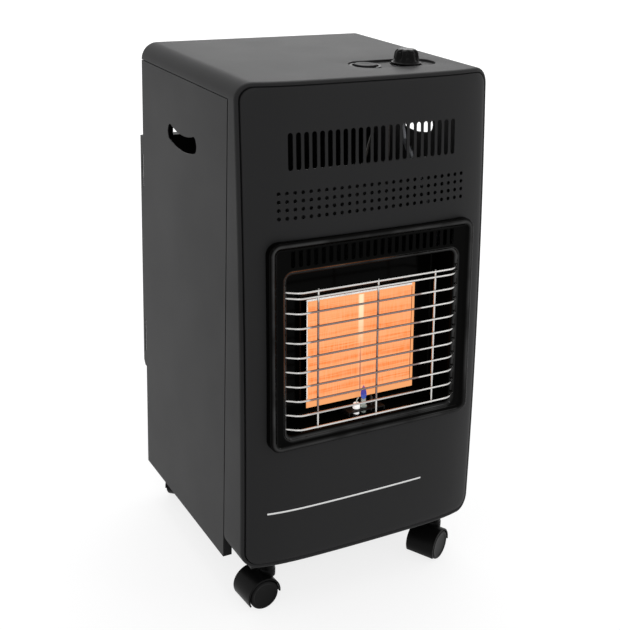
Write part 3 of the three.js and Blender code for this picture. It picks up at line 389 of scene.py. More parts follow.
def add_lathe(skin, profile, segments=48, place=None):
    """A turned body whose profile, rows of (radius, height), starts and ends on the axis."""
    a = np.linspace(0, 2 * math.pi, segments, endpoint=False)[:, None]
    points = xyz(profile[1:-1, 0] * np.cos(a), profile[1:-1, 0] * np.sin(a), profile[1:-1, 1])
    tips = np.array([[0, 0, profile[0, 1]], [0, 0, profile[-1, 1]]], float)
    if place is not None:
        points, tips = place(points), place(tips)
    skin.grid(points, wrap_u=True)
    skin.fan(points[:, 0], tips[0])
    skin.fan(points[:, -1], tips[1])
    return skin


# ---- finishes -----------------------------------------------------------------------------
class Net:
    """Short calls for adding and linking nodes in one tree."""

    def __init__(self, tree):
        self.tree = tree
        self.shader = tree.nodes.get("Principled BSDF")

    def add(self, kind, links=None, values=None, **settings):
        """A node with its settings, its sockets' own values and its links."""
        node = self.tree.nodes.new(kind)
        for key, value in settings.items():
            setattr(node, key, value)
        for key, value in (values or {}).items():
            node.inputs[key].default_value = value
        for key, source in (links or {}).items():
            self.tree.links.new(source, node.inputs[key])
        return node

    def fill(self, node, rows):
        """Each socket takes a number, a colour or a link."""
        for key, value in rows:
            if isinstance(value, (int, float)):
                node.inputs[key].default_value = value
            elif isinstance(value, tuple):
                node.inputs[key].default_value = (*value, 1)
            else:
                self.tree.links.new(value, node.inputs[key])

    def math(self, operation, *values, clamp=False):
        node = self.add("ShaderNodeMath", operation=operation, use_clamp=clamp)
        self.fill(node, enumerate(values))
        return node.outputs[0]

    def rise(self, value, start, width):
        """0 up to the start, 1 from a width beyond it, straight between them."""
        return self.math("DIVIDE", self.math("SUBTRACT", value, start), width, clamp=True)

    def mix(self, factor, a, b):
        node = self.add("ShaderNodeMix", data_type="RGBA")
        self.fill(node, ((0, factor), (6, a), (7, b)))
        return node.outputs[2]

    def ramp(self, source, *stops):
        """Ramp through stops of a place and a grey or a colour."""
        node = self.add("ShaderNodeValToRGB", {0: source})
        elements = node.color_ramp.elements
        while len(elements) < len(stops):
            elements.new(0.5)
        for element, (at, value) in zip(elements, stops):
            element.position = at
            element.color = (value, value, value, 1) if isinstance(value, (int, float)) else (*value, 1)
        return node.outputs[0]

    def place(self):
        """Object coordinates."""
        return self.add("ShaderNodeTexCoord").outputs["Object"]

    def axes(self):
        """X, Y and Z of the object coordinates."""
        return self.add("ShaderNodeSeparateXYZ", {0: self.place()}).outputs

    def noise(self, place, scale, detail, roughness=0.5):
        values = {"Scale": scale, "Detail": detail, "Roughness": roughness}
        return self.add("ShaderNodeTexNoise", {"Vector": place}, values).outputs["Fac"]

    def base(self):
        """What feeds the shader's colour so far."""
        return self.shader.inputs["Base Color"].links[0].from_socket

    def into(self, name, source):
        """Link into a socket of the shader."""
        self.tree.links.new(source, self.shader.inputs[name])


def node_group(name, inputs):
    """Shared group with the named inputs that puts out a colour, a roughness and a normal."""
    group = bpy.data.node_groups.new(name, "ShaderNodeTree")
    for label, default in inputs.items():
        kind = "Float" if isinstance(default, float) else "Color" if len(default) == 4 else "Vector"
        socket = group.interface.new_socket(label, in_out="INPUT", socket_type=f"NodeSocket{kind}")
        socket.default_value = default
    for label, kind in (("Color", "Color"), ("Roughness", "Float"), ("Normal", "Vector")):
        group.interface.new_socket(label, in_out="OUTPUT", socket_type=f"NodeSocket{kind}")
    net = Net(group)
    return net, net.add("NodeGroupInput").outputs, net.add("NodeGroupOutput").inputs


def put_out(net, entry, result, shade, rough, height, distance):
    """The end of a shared group: its colour times the shade, its roughness, a bump of the height."""
    scaled = net.add("ShaderNodeVectorMath", {0: entry["Color"], 3: shade}, operation="SCALE")
    bump = net.add("ShaderNodeBump", {"Height": height, "Strength": entry["Depth"]}, {"Distance": distance})
    for label, source in (("Color", scaled.outputs[0]), ("Roughness", rough), ("Normal", bump.outputs[0])):
        net.tree.links.new(source, result[label])
    return net.tree


def grain_group():
    """Fine grain with soft colour and gloss changes: powder coat, cast plastic, enamel."""
    net, entry, result = node_group("Coat grain", {
        "Color": (0.5, 0.5, 0.5, 1), "Spread": 0.1, "Roughness": 0.5, "Rough spread": 0.08,
        "Scale": 900.0, "Depth": 0.15})
    place = net.place()
    fine = net.add("ShaderNodeTexNoise", {"Vector": place, "Scale": entry["Scale"]},
                   {"Detail": 2.0, "Roughness": 0.55}).outputs["Fac"]
    cloud = net.math("SUBTRACT", net.noise(place, 9.0, 3.0, 0.6), 0.5)
    speck = net.math("SUBTRACT", net.noise(place, 2600.0, 1.0), 0.5)
    soft, sharp = (net.math("MULTIPLY_ADD", spot, entry["Spread"], 1.0) for spot in (cloud, speck))
    gloss = net.math("MULTIPLY", cloud, entry["Rough spread"])
    rough = net.math("ADD", entry["Roughness"], gloss, clamp=True)
    return put_out(net, entry, result, net.math("MULTIPLY", soft, sharp), rough, fine, 0.0004)


def drawn_group():
    """Fine drawn lines along one axis with soft stains, for rolled and drawn metal."""
    net, entry, result = node_group("Drawn metal", {
        "Color": (0.7, 0.7, 0.7, 1), "Stretch": (40.0, 40.0, 900.0), "Roughness": 0.25, "Depth": 0.1})
    place = net.place()
    lines = net.add("ShaderNodeVectorMath", {0: place, 1: entry["Stretch"]}, operation="MULTIPLY")
    fine, stain = net.noise(lines.outputs[0], 1.0, 3.0), net.noise(place, 30.0, 4.0)
    tone = net.math("ADD", net.math("MULTIPLY", fine, 0.16), net.math("MULTIPLY", stain, 0.2))
    gloss = net.math("MULTIPLY", net.math("SUBTRACT", fine, 0.4), 0.3)
    rough = net.math("ADD", entry["Roughness"], gloss, clamp=True)
    return put_out(net, entry, result, net.math("ADD", tone, 0.8), rough, fine, 0.0002)


GROUPS, LOOKS = {}, {}


def blank(name, fixed):
    """Material with its shader's own values; its nodes are added through what comes back."""
    look = bpy.data.materials.new(name)
    look.use_nodes = True
    net = Net(look.node_tree)
    for key, value in fixed.items():
        net.shader.inputs[key].default_value = value
    LOOKS[name] = look
    return net


def surface(name, group, fixed, *values):
    """Material whose colour, gloss and normal come from a shared group, its inputs filled in order."""
    net = blank(name, fixed)
    node = net.add("ShaderNodeGroup", node_tree=GROUPS[group])
    for socket, value in zip(node.inputs, values):
        socket.default_value = (*value, 1) if socket.name == "Color" else value
    for label, target in (("Color", "Base Color"), ("Roughness", "Roughness"), ("Normal", "Normal")):
        net.into(target, node.outputs[label])
    return net


def burner_front_mask(net, place, middle, half, low, high, soft):
    """1 in front of the burner and 0 away from it, with soft borders."""
    across = net.rise(half, net.math("ABSOLUTE", net.math("SUBTRACT", place["X"], middle)), soft)
    above, below = net.rise(place["Z"], low, soft), net.rise(high, place["Z"], soft)
    return net.math("MULTIPLY", across, net.math("MULTIPLY", above, below))


def rim_mask(net, place, half_w, half_h, middle, radius, inboard, wide, plain):
    """A line a little inboard of a rounded rectangle's outline, strongest in its corners.

    The distance to the outline is the length of the part outside the corners' centres plus
    the larger of the parts inside them, less the corner radius."""
    x = net.math("SUBTRACT", net.math("ABSOLUTE", place["X"]), half_w - radius)
    z = net.math("ABSOLUTE", net.math("SUBTRACT", place["Z"], middle))
    z = net.math("SUBTRACT", z, half_h - radius)
    px, pz = net.math("MAXIMUM", x, 0.0), net.math("MAXIMUM", z, 0.0)
    outer = net.math("SQRT", net.math("ADD", net.math("MULTIPLY", px, px), net.math("MULTIPLY", pz, pz)))
    away = net.math("ADD", outer, net.math("MINIMUM", net.math("MAXIMUM", x, z), 0.0))
    line = net.math("ABSOLUTE", net.math("ADD", net.math("SUBTRACT", away, radius), inboard))
    band = net.math("SUBTRACT", 1.0, net.math("DIVIDE", line, wide), clamp=True)
    corner = net.rise(outer, radius * 0.35, radius * 0.45)
    return net.math("MULTIPLY", band, net.math("ADD", net.math("MULTIPLY", corner, 0.95 - plain), plain))


def enamel_look(finish):
    """Thin gloss enamel with a glassier coat on the crests of the bead and the recess's rim."""
    net = surface("Gloss enamel", "grain", {"Specular IOR Level": 0.025, "Coat Roughness": 0.06},
                  finish.enamel, 0.3, 0.12, 0.08, 160.0, 0.05)
    place = net.axes()
    bead = rim_mask(net, place, 0.1415, 0.1293, 0.362, 0.015, 0.0046, 0.0030, 0.20)
    rim = rim_mask(net, place, 0.1215, 0.1056, 0.3492, 0.012, 0.0014, 0.0032, 0.06)
    patchy = net.ramp(net.noise(net.place(), 22.0, 2.0), (0.35, 0.35), (0.62, 1.0))
    net.into("Coat Weight", net.math("MULTIPLY", net.math("MAXIMUM", bead, rim), patchy, clamp=True))


def wire_look():
    """Bright drawn wire, with painted shade in brown and violet where it stands in front of the burner."""
    net = surface("Bright wire", "drawn", {"Metallic": 1.0},
                  (0.60, 0.59, 0.57), (40.0, 40.0, 700.0), 0.2, 0.05)
    mask = burner_front_mask(net, net.axes(), -0.017, 0.079, 0.279, 0.421, 0.004)
    # Painted shade: in front of the burner the wire's colour goes to a dark brown and violet.
    stain = net.mix(net.noise(net.place(), 60.0, 3.0), (0.15, 0.105, 0.11), (0.26, 0.19, 0.16))
    net.into("Base Color", net.mix(net.math("MULTIPLY", mask, 0.92), net.base(), stain))


def strip_look():
    """Bright sheet round the ceramic, with the ceramic's glow painted on as emission at its foot."""
    net = surface("Stainless strip", "drawn", {"Metallic": 1.0, "Emission Strength": 1.0},
                  (0.84, 0.82, 0.80), (60.0, 60.0, 500.0), 0.24, 0.06)
    place = net.axes()
    # Borders of the part with painted glow, in metres: its foot and right edge, then its inner edge, which
    # takes a painted reflection of the ceramic's glow at the top and on the left.
    foot_top, right_edge, inner_half, inner_top = 0.2785, 0.0722, 0.0757, 0.4035
    foot, right = net.rise(foot_top, place["Z"], 0.003), net.rise(place["X"], right_edge, 0.001)
    inner_x = net.rise(inner_half, net.math("ABSOLUTE", place["X"]), 0.0004)
    inner_z = net.rise(inner_top, place["Z"], 0.0004)
    side = net.math("MAXIMUM", net.math("MAXIMUM", foot, right), net.math("MULTIPLY", inner_x, inner_z))
    # Depth behind the burner's plane: only the front face stays bright, and the walls go near black.
    back = net.math("SUBTRACT", place["Y"], (BURNER[1] + SHIFT) * MM)
    up = net.math("SUBTRACT", place["Z"], BURNER[2] * MM)
    depth = net.math("SUBTRACT", net.math("MULTIPLY", back, math.cos(TILT)),
                     net.math("MULTIPLY", up, math.sin(TILT)))
    wall = net.rise(depth, 0.0291, 0.0006)
    # Painted glow: the base colour goes dark brown where the glow is painted.
    tone = net.mix(side, net.base(), (0.10, 0.05, 0.03))
    net.into("Base Color", net.mix(wall, tone, (0.006, 0.005, 0.005)))
    # Painted glow: warm emission on the front face stands in for the ceramic's light falling on the strip.
    painted_glow = net.math("MULTIPLY", net.math("MULTIPLY", side, 0.86), net.math("SUBTRACT", 1.0, wall))
    net.into("Emission Color", net.mix(painted_glow, (0.0, 0.0, 0.0), (1.0, 0.42, 0.16)))


def ceramic_look(finish):
    """Burning ceramic: pinholes in a close pattern, ribs, darker bands above the wires, a pale seam at its
    middle.
    """
    net = blank("Burning ceramic", {"Emission Strength": finish.strength, "Roughness": 0.9,
                                    "Base Color": (0.05, 0.022, 0.012, 1)})
    place, parts = net.place(), net.axes()

    def stretched(size, detail):
        turned = net.add("ShaderNodeVectorMath", {0: place}, {1: size}, operation="MULTIPLY")
        return net.noise(turned.outputs[0], 1.0, detail)

    cells = net.add("ShaderNodeTexVoronoi", {"Vector": place}, {"Scale": 480.0, "Randomness": 0.25})
    pores = net.ramp(cells.outputs["Distance"], (0.12, 1.0), (0.42, 0.0))
    # One band per guard wire, strongest just above the wire and low on the burner.
    band_foot, band_step = 0.2622, 0.01815
    phase = net.math("FRACT", net.math("DIVIDE", net.math("SUBTRACT", parts["Z"], band_foot), band_step))
    band = net.ramp(phase, (0.0, 0.6), (0.08, 1.0), (0.26, 0.95), (0.46, 0.35), (0.68, 0.05),
                    (0.9, 0.12), (1.0, 0.6))
    low = net.ramp(net.rise(0.410, parts["Z"], 0.14), (0.0, 0.50), (0.5, 0.80), (1.0, 1.0))
    lines = net.ramp(stretched((18.0, 18.0, 620.0), 2.0), (0.40, 0.15), (0.60, 1.5))
    band = net.math("MULTIPLY", net.math("MULTIPLY", band, low), lines, clamp=True)
    tone = net.mix(band, tuple(finish.glow), tuple(finish.band_colour))
    rib = net.ramp(stretched((900.0, 40.0, 60.0), 1.0), (0.35, 0.0), (0.65, 1.0))
    tone = net.mix(net.math("MULTIPLY", rib, 0.42), tone, (1.0, 0.43, 0.22))
    tone = net.mix(net.math("MULTIPLY", pores, 0.26), tone, (0.74, 0.17, 0.03))
    seam = net.math("ABSOLUTE", parts["X"])
    high = net.ramp(net.rise(parts["Z"], 0.330, 0.05), (0.0, 0.12), (1.0, 0.95))
    pale = net.math("MULTIPLY", net.ramp(net.math("DIVIDE", seam, 0.005), (0.45, 1.0), (0.95, 0.0)), high)
    tone = net.mix(pale, tone, (1.0, 0.76, 0.50))
    dark = net.math("MULTIPLY", net.ramp(net.math("DIVIDE", seam, 0.002), (0.3, 1.0), (0.7, 0.0)),
                    net.ramp(net.rise(0.345, parts["Z"], 0.03), (0.0, 0.0), (1.0, 0.8)))
    net.into("Emission Color", net.mix(dark, tone, (0.30, 0.12, 0.08)))


# Finishes that use a group as it is: the shader's own values, then the group's inputs in order.
# Grain: colour, spread, roughness, its spread, scale, depth. Drawn: colour, stretch, roughness, depth.
WHITE = (1, 1, 1, 1)
GRAINS = {
    # Near-black steel for the burner's housing and the pilot's bracket.
    "Near-black steel": ({"Specular IOR Level": 0.12}, (0.007, 0.006, 0.006), 0.35, 0.5, 0.2, 300.0, 0.2),
    "Zinc plate": ({"Metallic": 0.9}, (0.33, 0.34, 0.36), 0.3, 0.42, 0.2, 300.0, 0.1),
    # The porcelain's emission is painted light that lifts the electrode out of the recess's shade.
    "Porcelain with painted light": ({"Coat Weight": 0.6, "Coat Roughness": 0.08, "Emission Color": WHITE,
                   "Emission Strength": 0.6}, (0.90, 0.90, 0.88), 0.08, 0.3, 0.1, 400.0, 0.05),
    "Glossy plastic": ({"Specular IOR Level": 0.08}, (0.0018, 0.0018, 0.0018), 0.2, 0.15, 0.06, 700.0,
                       0.05),
    "Caster plastic": ({"Specular IOR Level": 0.08}, (0.004, 0.004, 0.004), 0.25, 0.36, 0.14, 500.0, 0.1),
    "Wheel plastic": ({"Specular IOR Level": 0.09}, (0.003, 0.003, 0.003), 0.3, 0.42, 0.2, 350.0, 0.14),
    "Button plastic": ({"Specular IOR Level": 0.08}, (0.014, 0.014, 0.015), 0.1, 0.42, 0.1, 800.0, 0.05),
    # The print's emission is painted light that brightens the stripe.
    "White print with painted light": ({"Emission Color": WHITE, "Emission Strength": 0.22}, (0.88, 0.88, 0.87), 0.08, 0.5,
                    0.1, 900.0, 0.1)}
DRAWN = {
    "Dull tube": ({"Metallic": 0.8}, (0.060, 0.054, 0.050), (200.0, 200.0, 40.0), 0.42, 0.1),
    # Pilot steel's emission is painted light, a grey-green glow on the pilot tube and the electrode's tip.
    "Pilot steel with painted light": ({"Metallic": 0.5, "Emission Color": (0.4, 0.46, 0.42, 1), "Emission Strength": 0.16},
                    (0.42, 0.47, 0.43), (300.0, 300.0, 60.0), 0.4, 0.08),
    "Brass": ({"Metallic": 1.0}, (0.62, 0.44, 0.18), (300.0, 300.0, 60.0), 0.3, 0.06)}
DRESSED = {
    "Powder coat": ("side_panel_left", "side_panel_right", "base_pan", "rear_cover", "partition"),
    "Zinc plate": ("mixing_tube", "valve_bracket", "valve_spindle", "gas_pipe",
                   *(f"caster_{place}_{part}" for place in CASTERS for part in ("socket", "axle"))),
    "Near-black steel": ("burner_housing", "pilot_bracket"), "Stainless strip": ("burner_frame",),
    "Brass": ("gas_injector", "gas_valve", "inlet_nipple"), "Glossy plastic": ("igniter_body",),
    "Dull tube": ("thermocouple", "pilot_pipe"),
    "Burning ceramic": ("ceramic_plaque_left", "ceramic_plaque_right")}


def dress(node, look):
    """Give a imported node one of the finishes."""
    piece = bpy.data.objects[node]
    for entry in piece.material_slots:
        entry.material = LOOKS[look]
    if not piece.material_slots:
        piece.data.materials.append(LOOKS[look])


class HEATER_OT_finishes(bpy.types.Operator):
    """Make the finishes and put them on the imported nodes"""
    bl_idname = "heater.finishes"
    bl_label = "Finishes"

    def execute(self, context):
        finish = context.scene.heater_finish
        GROUPS.update(grain=grain_group(), drawn=drawn_group())
        surface("Powder coat", "grain", {"Specular IOR Level": 0.2}, finish.coat, 0.16, 0.5, 0.1, 1100.0,
                0.22)
        for group, table in (("grain", GRAINS), ("drawn", DRAWN)):
            for name, (fixed, *values) in table.items():
                surface(name, group, fixed, *values)
        enamel_look(finish)
        wire_look()
        strip_look()
        ceramic_look(finish)
        for look, nodes in DRESSED.items():
            for node in nodes:
                dress(node, look)
        return {"FINISHED"}


# ---- cabinet ---------------------------------------------------------------------------------
def front_surface(x, z):
    """Depth of the front: pillowed by x squared and its cube, leaning back by height and its square."""
    size = bpy.context.scene.heater_cabinet
    w = (x / mm(size.half_width)) ** 2
    t = (z - mm(size.low)) / mm(size.top - size.low)
    return mm(size.front) + PILLOW[0] * w + PILLOW[1] * w ** 3 + LEAN[0] * t + LEAN[1] * t * t


def stadium(left, right, y, r, n=20):
    """Closed outline with a half circle at each end."""
    return np.vstack([arc(right, y, r, -90, 90, n), arc(left, y, r, 90, 270, n)])


class HEATER_OT_hood(bpy.types.Operator):
    """Top cover and front ring with the control recess"""
    bl_idname = "heater.hood"
    bl_label = "Hood"

    def execute(self, context):
        size = context.scene.heater_cabinet
        control = context.scene.heater_control
        w, top, low, edge = mm(size.half_width), mm(size.top), mm(size.low), mm(size.edge)
        # The shell stops a little short of the side panels, so that the seams read as lines.
        seam_y, seam_z, rear = mm(size.seam_y) - 1.8, mm(size.seam_z) + 0.7, mm(size.rear)
        lip = mm(size.inset) - 0.3
        skin = Skin()
        path = rounded_path(-w, w, low, top, edge, 14, 12.0)
        # Inner edge of the lip, a shallow valley beside the front panel, the rounded front edge.
        section = strung([(lip + 2.4, 2.0), (lip + 0.6, 1.9)],
                         bend((lip + 0.6, 1.9), (lip - 0.4, 1.3), (4.8, 0.25), (3.9, 0.05), 6),
                         bend((3.9, 0.05), (1.6, 0.05), (0, 1.6), (0, 5.4), 9))
        ring = swept(path, section, front_surface)
        back = ring[:, -1:].copy()
        back[..., 1] = seam_y
        skin.grid(np.concatenate([ring, back], axis=1), wrap_u=True)
        # Skirt and rounded upper edges behind the ring.
        for side in (1, -1):
            quarter = path[(path[:, 0] * side >= w - edge - 1e-6) & (path[:, 1] >= top - edge - 1e-6)]
            quarter = quarter[np.argsort(quarter[:, 1])]
            foot = quarter[:1].copy()
            foot[0, 1] = seam_z
            quarter = np.vstack([foot, quarter])
            skin.grid(np.stack([xyz(quarter[:, 0], y, quarter[:, 1]) for y in (seam_y, 40.0, rear)]))
        flat_w = w - edge
        xs = np.unique(np.round(path[(path[:, 3] > 0.999)][:, 0], 6))
        outline = np.vstack([np.stack([xs, np.full(len(xs), seam_y)], axis=1),
                             [(flat_w, 40.0), (flat_w, rear), (-flat_w, rear), (-flat_w, 40.0)]])
        left, right, middle, radius = TRAY
        mouth = stadium(left, right, middle, radius + 1.0)
        skin.plate(outline, [mouth], 40.0, lambda x, y: xyz(x, y, top))
        wall = strung(arc(1.0, -1.0, 1.0, 90, 180, 5), arc(-0.9, -TRAY_DEPTH + 0.9, 0.9, 0, -90, 4))
        loop = stadium(left, right, middle, radius)
        centre = np.stack([np.clip(loop[:, 0], left, right), np.full(len(loop), middle)], axis=1)
        out = (loop - centre) / radius
        rings = np.stack([xyz(*(loop + out * o).T, top + z) for o, z in wall])
        skin.grid(rings, wrap_v=True)
        line_y = mm(control.line_y)
        holes = [circle(mm(control.knob_x), line_y, KNOB_HOLE, 40),
                 circle(mm(control.button_x), line_y, BUTTON_HOLE, 40)]
        skin.plate(rings[-1][:, :2], holes, 30.0, lambda x, y: xyz(x, y, top - TRAY_DEPTH))
        make("hood_shell", skin, "Powder coat", slot="charcoal", replaces=("hood",), wall=mm(size.sheet),
             sharp=50)
        # Lip folded down behind the rear edge.
        inset = mm(size.sheet) + 0.05
        corner = arc(flat_w, top - edge, edge - inset, 0, 90, 14)
        foot = mm(size.seam_z)
        # Round the top, down the left side to the foot, and back along the lip's own lower edge.
        lip_in, lip_low = w - 40, top - 18.4
        outline = np.vstack([[(w - inset, foot)], corner, (corner * (-1, 1))[::-1], [(inset - w, foot)],
                             [(-lip_in, foot), (-lip_in, lip_low), (lip_in, lip_low), (lip_in, foot)]])
        skin = Skin().plate(outline, [], 60.0, lambda x, z: xyz(x, rear, z))
        make("hood_rear_lip", skin, "Powder coat", slot="charcoal", wall=mm(size.sheet), sharp=50)
        return {"FINISHED"}


class HEATER_OT_front(bpy.types.Operator):
    """Front panel with its slots and perforations, and the stripe on it"""
    bl_idname = "heater.front"
    bl_label = "Front panel"

    def execute(self, context):
        size = context.scene.heater_cabinet
        burner = context.scene.heater_burner
        inset = mm(size.inset)
        x = mm(size.half_width) - inset
        low, high = mm(size.low) + inset, mm(size.top) - inset
        # Width of the panel's rounded border.
        r = 9.0
        skin = Skin()
        path = rounded_path(-x, x, low, high, mm(size.panel_radius), 14, 12.0)
        inner = path.copy()
        inner[:, 0] -= path[:, 2] * r
        inner[:, 1] -= path[:, 3] * r
        # The rim reaches back onto the ring's lip, so that no light shows between the two.
        rim = strung([(0.0, 5.6), (0.0, 1.2)], bend((0.0, 1.2), (0.3, 0.4), (3.4, 0.0), (r, 0.0), 10))
        grid = swept(path, rim)
        grid[..., 1] += front_surface(grid[..., 0], grid[..., 2])
        skin.grid(grid, wrap_u=True)
        half = mm(size.slot_width) / 2
        holes = [slot_loop(x_slot, half, SLOT_LOW, SLOT_HIGH, 6) for x_slot in row_of(SLOT_COUNT)]
        holes += [circle(x_hole, HOLE_TOP - row * HOLE_STEP, mm(size.hole_radius), 12)
                  for row in range(HOLE_ROWS) for x_hole in row_of(HOLE_COLUMNS)]
        bw, bh = mm(burner.half_w) - 6, mm(burner.half_h) - 6
        holes.append(rounded_path(-bw, bw, BURNER[2] - bh, BURNER[2] + bh, 9.0, 4, 20.0)[:, :2])
        skin.plate(inner[:, :2], holes, 10.0, lambda x, z: xyz(x, front_surface(x, z), z))
        make("front_sheet", skin, "Powder coat", slot="charcoal", replaces=("front_panel",),
             wall=mm(size.sheet), sharp=40)
        stripe = Skin()
        xs = np.linspace(*STRIPE_X, 60)
        across = np.array([-1.15, -1.05, 1.05, 1.15])
        gx, gz = np.meshgrid(xs, STRIPE_Z + across, indexing="ij")
        lift = np.array([0.0, 0.14, 0.14, 0.0])[None]
        stripe.grid(np.stack([gx, front_surface(gx, gz) - lift, gz], axis=-1))
        make("front_stripe", stripe, "White print with painted light", slot="charcoal", sharp=80)
        return {"FINISHED"}


# ---- burner ----------------------------------------------------------------------------------
class HEATER_OT_bezel(bpy.types.Operator):
    """Enamelled bezel with its bead, louvres and drawn recess"""
    bl_idname = "heater.bezel"
    bl_label = "Burner bezel"

    def execute(self, context):
        size = context.scene.heater_burner
        w, h, r = mm(size.half_w), mm(size.half_h), mm(size.radius)
        rw, r0, r1, deep = mm(size.recess_w), mm(size.recess_low), mm(size.recess_high), mm(size.recess_depth)
        c, s = math.cos(TILT), math.sin(TILT)

        def depth_of_front(x, up):
            z = BURNER[2] + up * c
            return (front_surface(x, z) - BURNER[1] - up * s) / c

        skin = Skin()
        path = rounded_path(-w, w, -h, h, r, 12, 8.0)
        bead = strung(arc(3.2, -0.8, 3.2, 180, 270, 8),
                      bend((3.2, -4.0), (7.4, -4.0), (8.4, 0.0), (12.0, 0.0), 9))
        body = swept(path, bead)
        foot = body[:, :1].copy()
        foot[:, 0, 1] = depth_of_front(path[:, 0], path[:, 1]) - 0.4
        skin.grid(np.concatenate([foot, body], axis=1), wrap_u=True)
        recess = rounded_path(-rw, rw, r0, r1, 12.0, 12, 8.0)
        wall = strung(bend((-2.0, 0.0), (0.2, 0.0), (0.4, 2.4), (2.4, 2.7), 7),
                      bend((2.4, 2.7), (4.4, 2.9), (5.0, 3.4), (5.6, 6.4), 6),
                      [(7.4, 24.0), (8.9, 40.0)],
                      bend((8.9, 40.0), (9.3, 43.6), (9.6, deep), (12.4, deep), 6))
        walls = swept(recess, wall)
        skin.grid(walls, wrap_u=True)
        openings = [walls[:, 0][:, (0, 2)], *(slot_loop(x_slot, LOUVRE_HALF, LOUVRE_LOW, LOUVRE_HIGH, 5)
                                              for x_slot in row_of(SLOT_COUNT))]
        skin.plate(body[:, -1][:, (0, 2)], openings, 24.0, lambda x, z: xyz(x, 0.0, z))
        window = np.array([(-WINDOW_HALF, WINDOW_LOW), (WINDOW_HALF, WINDOW_LOW),
                           (WINDOW_HALF, WINDOW_HIGH), (-WINDOW_HALF, WINDOW_HIGH)])
        skin.plate(walls[:, -1][:, (0, 2)], [window], 30.0, lambda x, z: xyz(x, deep, z))
        skin.moved(burner_place)
        make("bezel_shell", skin, "Gloss enamel", slot="enamel", replaces=("burner_bezel",), wall=0.9,
             sharp=50)
        return {"FINISHED"}


class HEATER_OT_guard(bpy.types.Operator):
    """Wire guard in front of the burner, welded at each crossing"""
    bl_idname = "heater.guard"
    bl_label = "Wire guard"

    def execute(self, context):
        size = context.scene.heater_burner
        r, proud, turn, end = mm(size.wire), mm(size.proud), mm(size.bend), mm(size.end)
        skin = Skin()
        heights = [GUARD_TOP] + [GUARD_SECOND - GUARD_STEP * i for i in range(10)]
        half = strung([(0.0, -proud), (turn - 30, -proud), (turn - 7, -proud)],
                      bend((turn - 7, -proud), (turn - 1, -proud), (turn + 3.0, -proud + 2.6),
                           (turn + 6.0, -proud + 5.6), 7),
                      bend((turn + 6.0, -proud + 5.6), (end - 3.5, -2.6), (end - 1.2, -1.4), (end, 0.7), 5))
        line = np.vstack([half[::-1] * (-1, 1), half[1:]])
        for h in heights:
            add_tube(skin, xyz(*line.T, h), r, 12, 0.5)
        # The uprights lie behind the level wires, pressed a little into them, a weld at each crossing.
        d = -proud + 2 * r - 0.35
        blob = strung([(0.0, -1.0)], arc(0, 0, 1.0, -60, 60, 4), [(0.0, 1.0)])
        for x in GUARD_UPRIGHTS:
            add_tube(skin, [(x, d, h) for h in (GUARD_LOW, -60, 0, 40, GUARD_TOP + 1.5)], r, 12, 0.4)
            for h in heights:
                add_lathe(skin, blob, 8, lambda p: p * (1.7, 1.7, 1.5) + (x, -proud + r - 0.1, h))
        skin.moved(burner_place)
        make("guard_wires", skin, "Bright wire", slot="chrome", replaces=("wire_guard",), sharp=60,
             weld=False)
        return {"FINISHED"}


class HEATER_OT_pilot(bpy.types.Operator):
    """Pilot tube, spark electrode and the small pilot flame"""
    bl_idname = "heater.pilot"
    bl_label = "Pilot"

    def execute(self, context):
        d, x = PILOT_DEPTH, ELECTRODE_X

        def turned(name, look, slot, body, across=0.0, segments=24, sharp=50, **rest):
            """A turned piece that stands upright in the burner's frame."""
            skin = add_lathe(Skin(), body, segments, lambda p: p + (across, d, 0))
            make(name, skin.moved(burner_place), look, slot=slot, sharp=sharp, **rest)

        body = strung([(0, -121), (3.2, -121), (3.2, -104.3), (4.4, -104.3), (4.4, -102.6), (3.2, -102.2),
                       (3.2, -94.4)],
                      arc(2.4, -94.4, 0.8, 0, 90, 4), [(1.7, -93.6), (1.7, -97), (0, -97)])
        turned("pilot_tube_body", "Pilot steel with painted light", "stainless", body, replaces=("pilot_burner",))
        body = strung([(0, -117), (3.7, -117), (3.7, -104.3), (4.6, -104.3), (4.6, -101)],
                      arc(3.9, -101, 0.7, 0, 90, 3), [(3.9, -98.5)],
                      arc(2.6, -98.5, 1.3, 0, 90, 4), [(1.0, -97.2), (0, -97.2)])
        turned("electrode_ceramic", "Porcelain with painted light", "porcelain", body, x, replaces=("pilot_electrode",))
        tip = bend((x, d, -98), (x, d, -95), (x + 0.4, d, -92.6), (x + 3.4, d + 0.5, -91.3), 10)
        skin = add_tube(Skin(), tip, 0.8, 10, 0.5).moved(burner_place)
        make("electrode_tip", skin, "Pilot steel with painted light", slot="stainless", sharp=50)
        net = blank("Pilot flame", {"Emission Strength": 0.6, "Base Color": (0.02, 0.03, 0.2, 1)})
        height = net.rise(net.axes()["Z"], 0.2685, 0.019)
        net.into("Emission Color", net.ramp(height, (0.0, (0.10, 0.20, 0.62)), (0.35, (0.02, 0.04, 0.42)),
                                            (0.7, (0.07, 0.03, 0.36)), (1.0, (0.42, 0.16, 0.42))))
        net.into("Alpha", net.ramp(height, (0.0, 0.85), (0.6, 0.8), (1.0, 0.15)))
        body = strung([(0, -93.4), (2.2, -93.2)],
                      bend((2.2, -93.2), (5.4, -89), (3.2, -81), (0.0, -75.0), 12))
        turned("pilot_flame", "Pilot flame", "porcelain", body, segments=20, sharp=80)
        return {"FINISHED"}


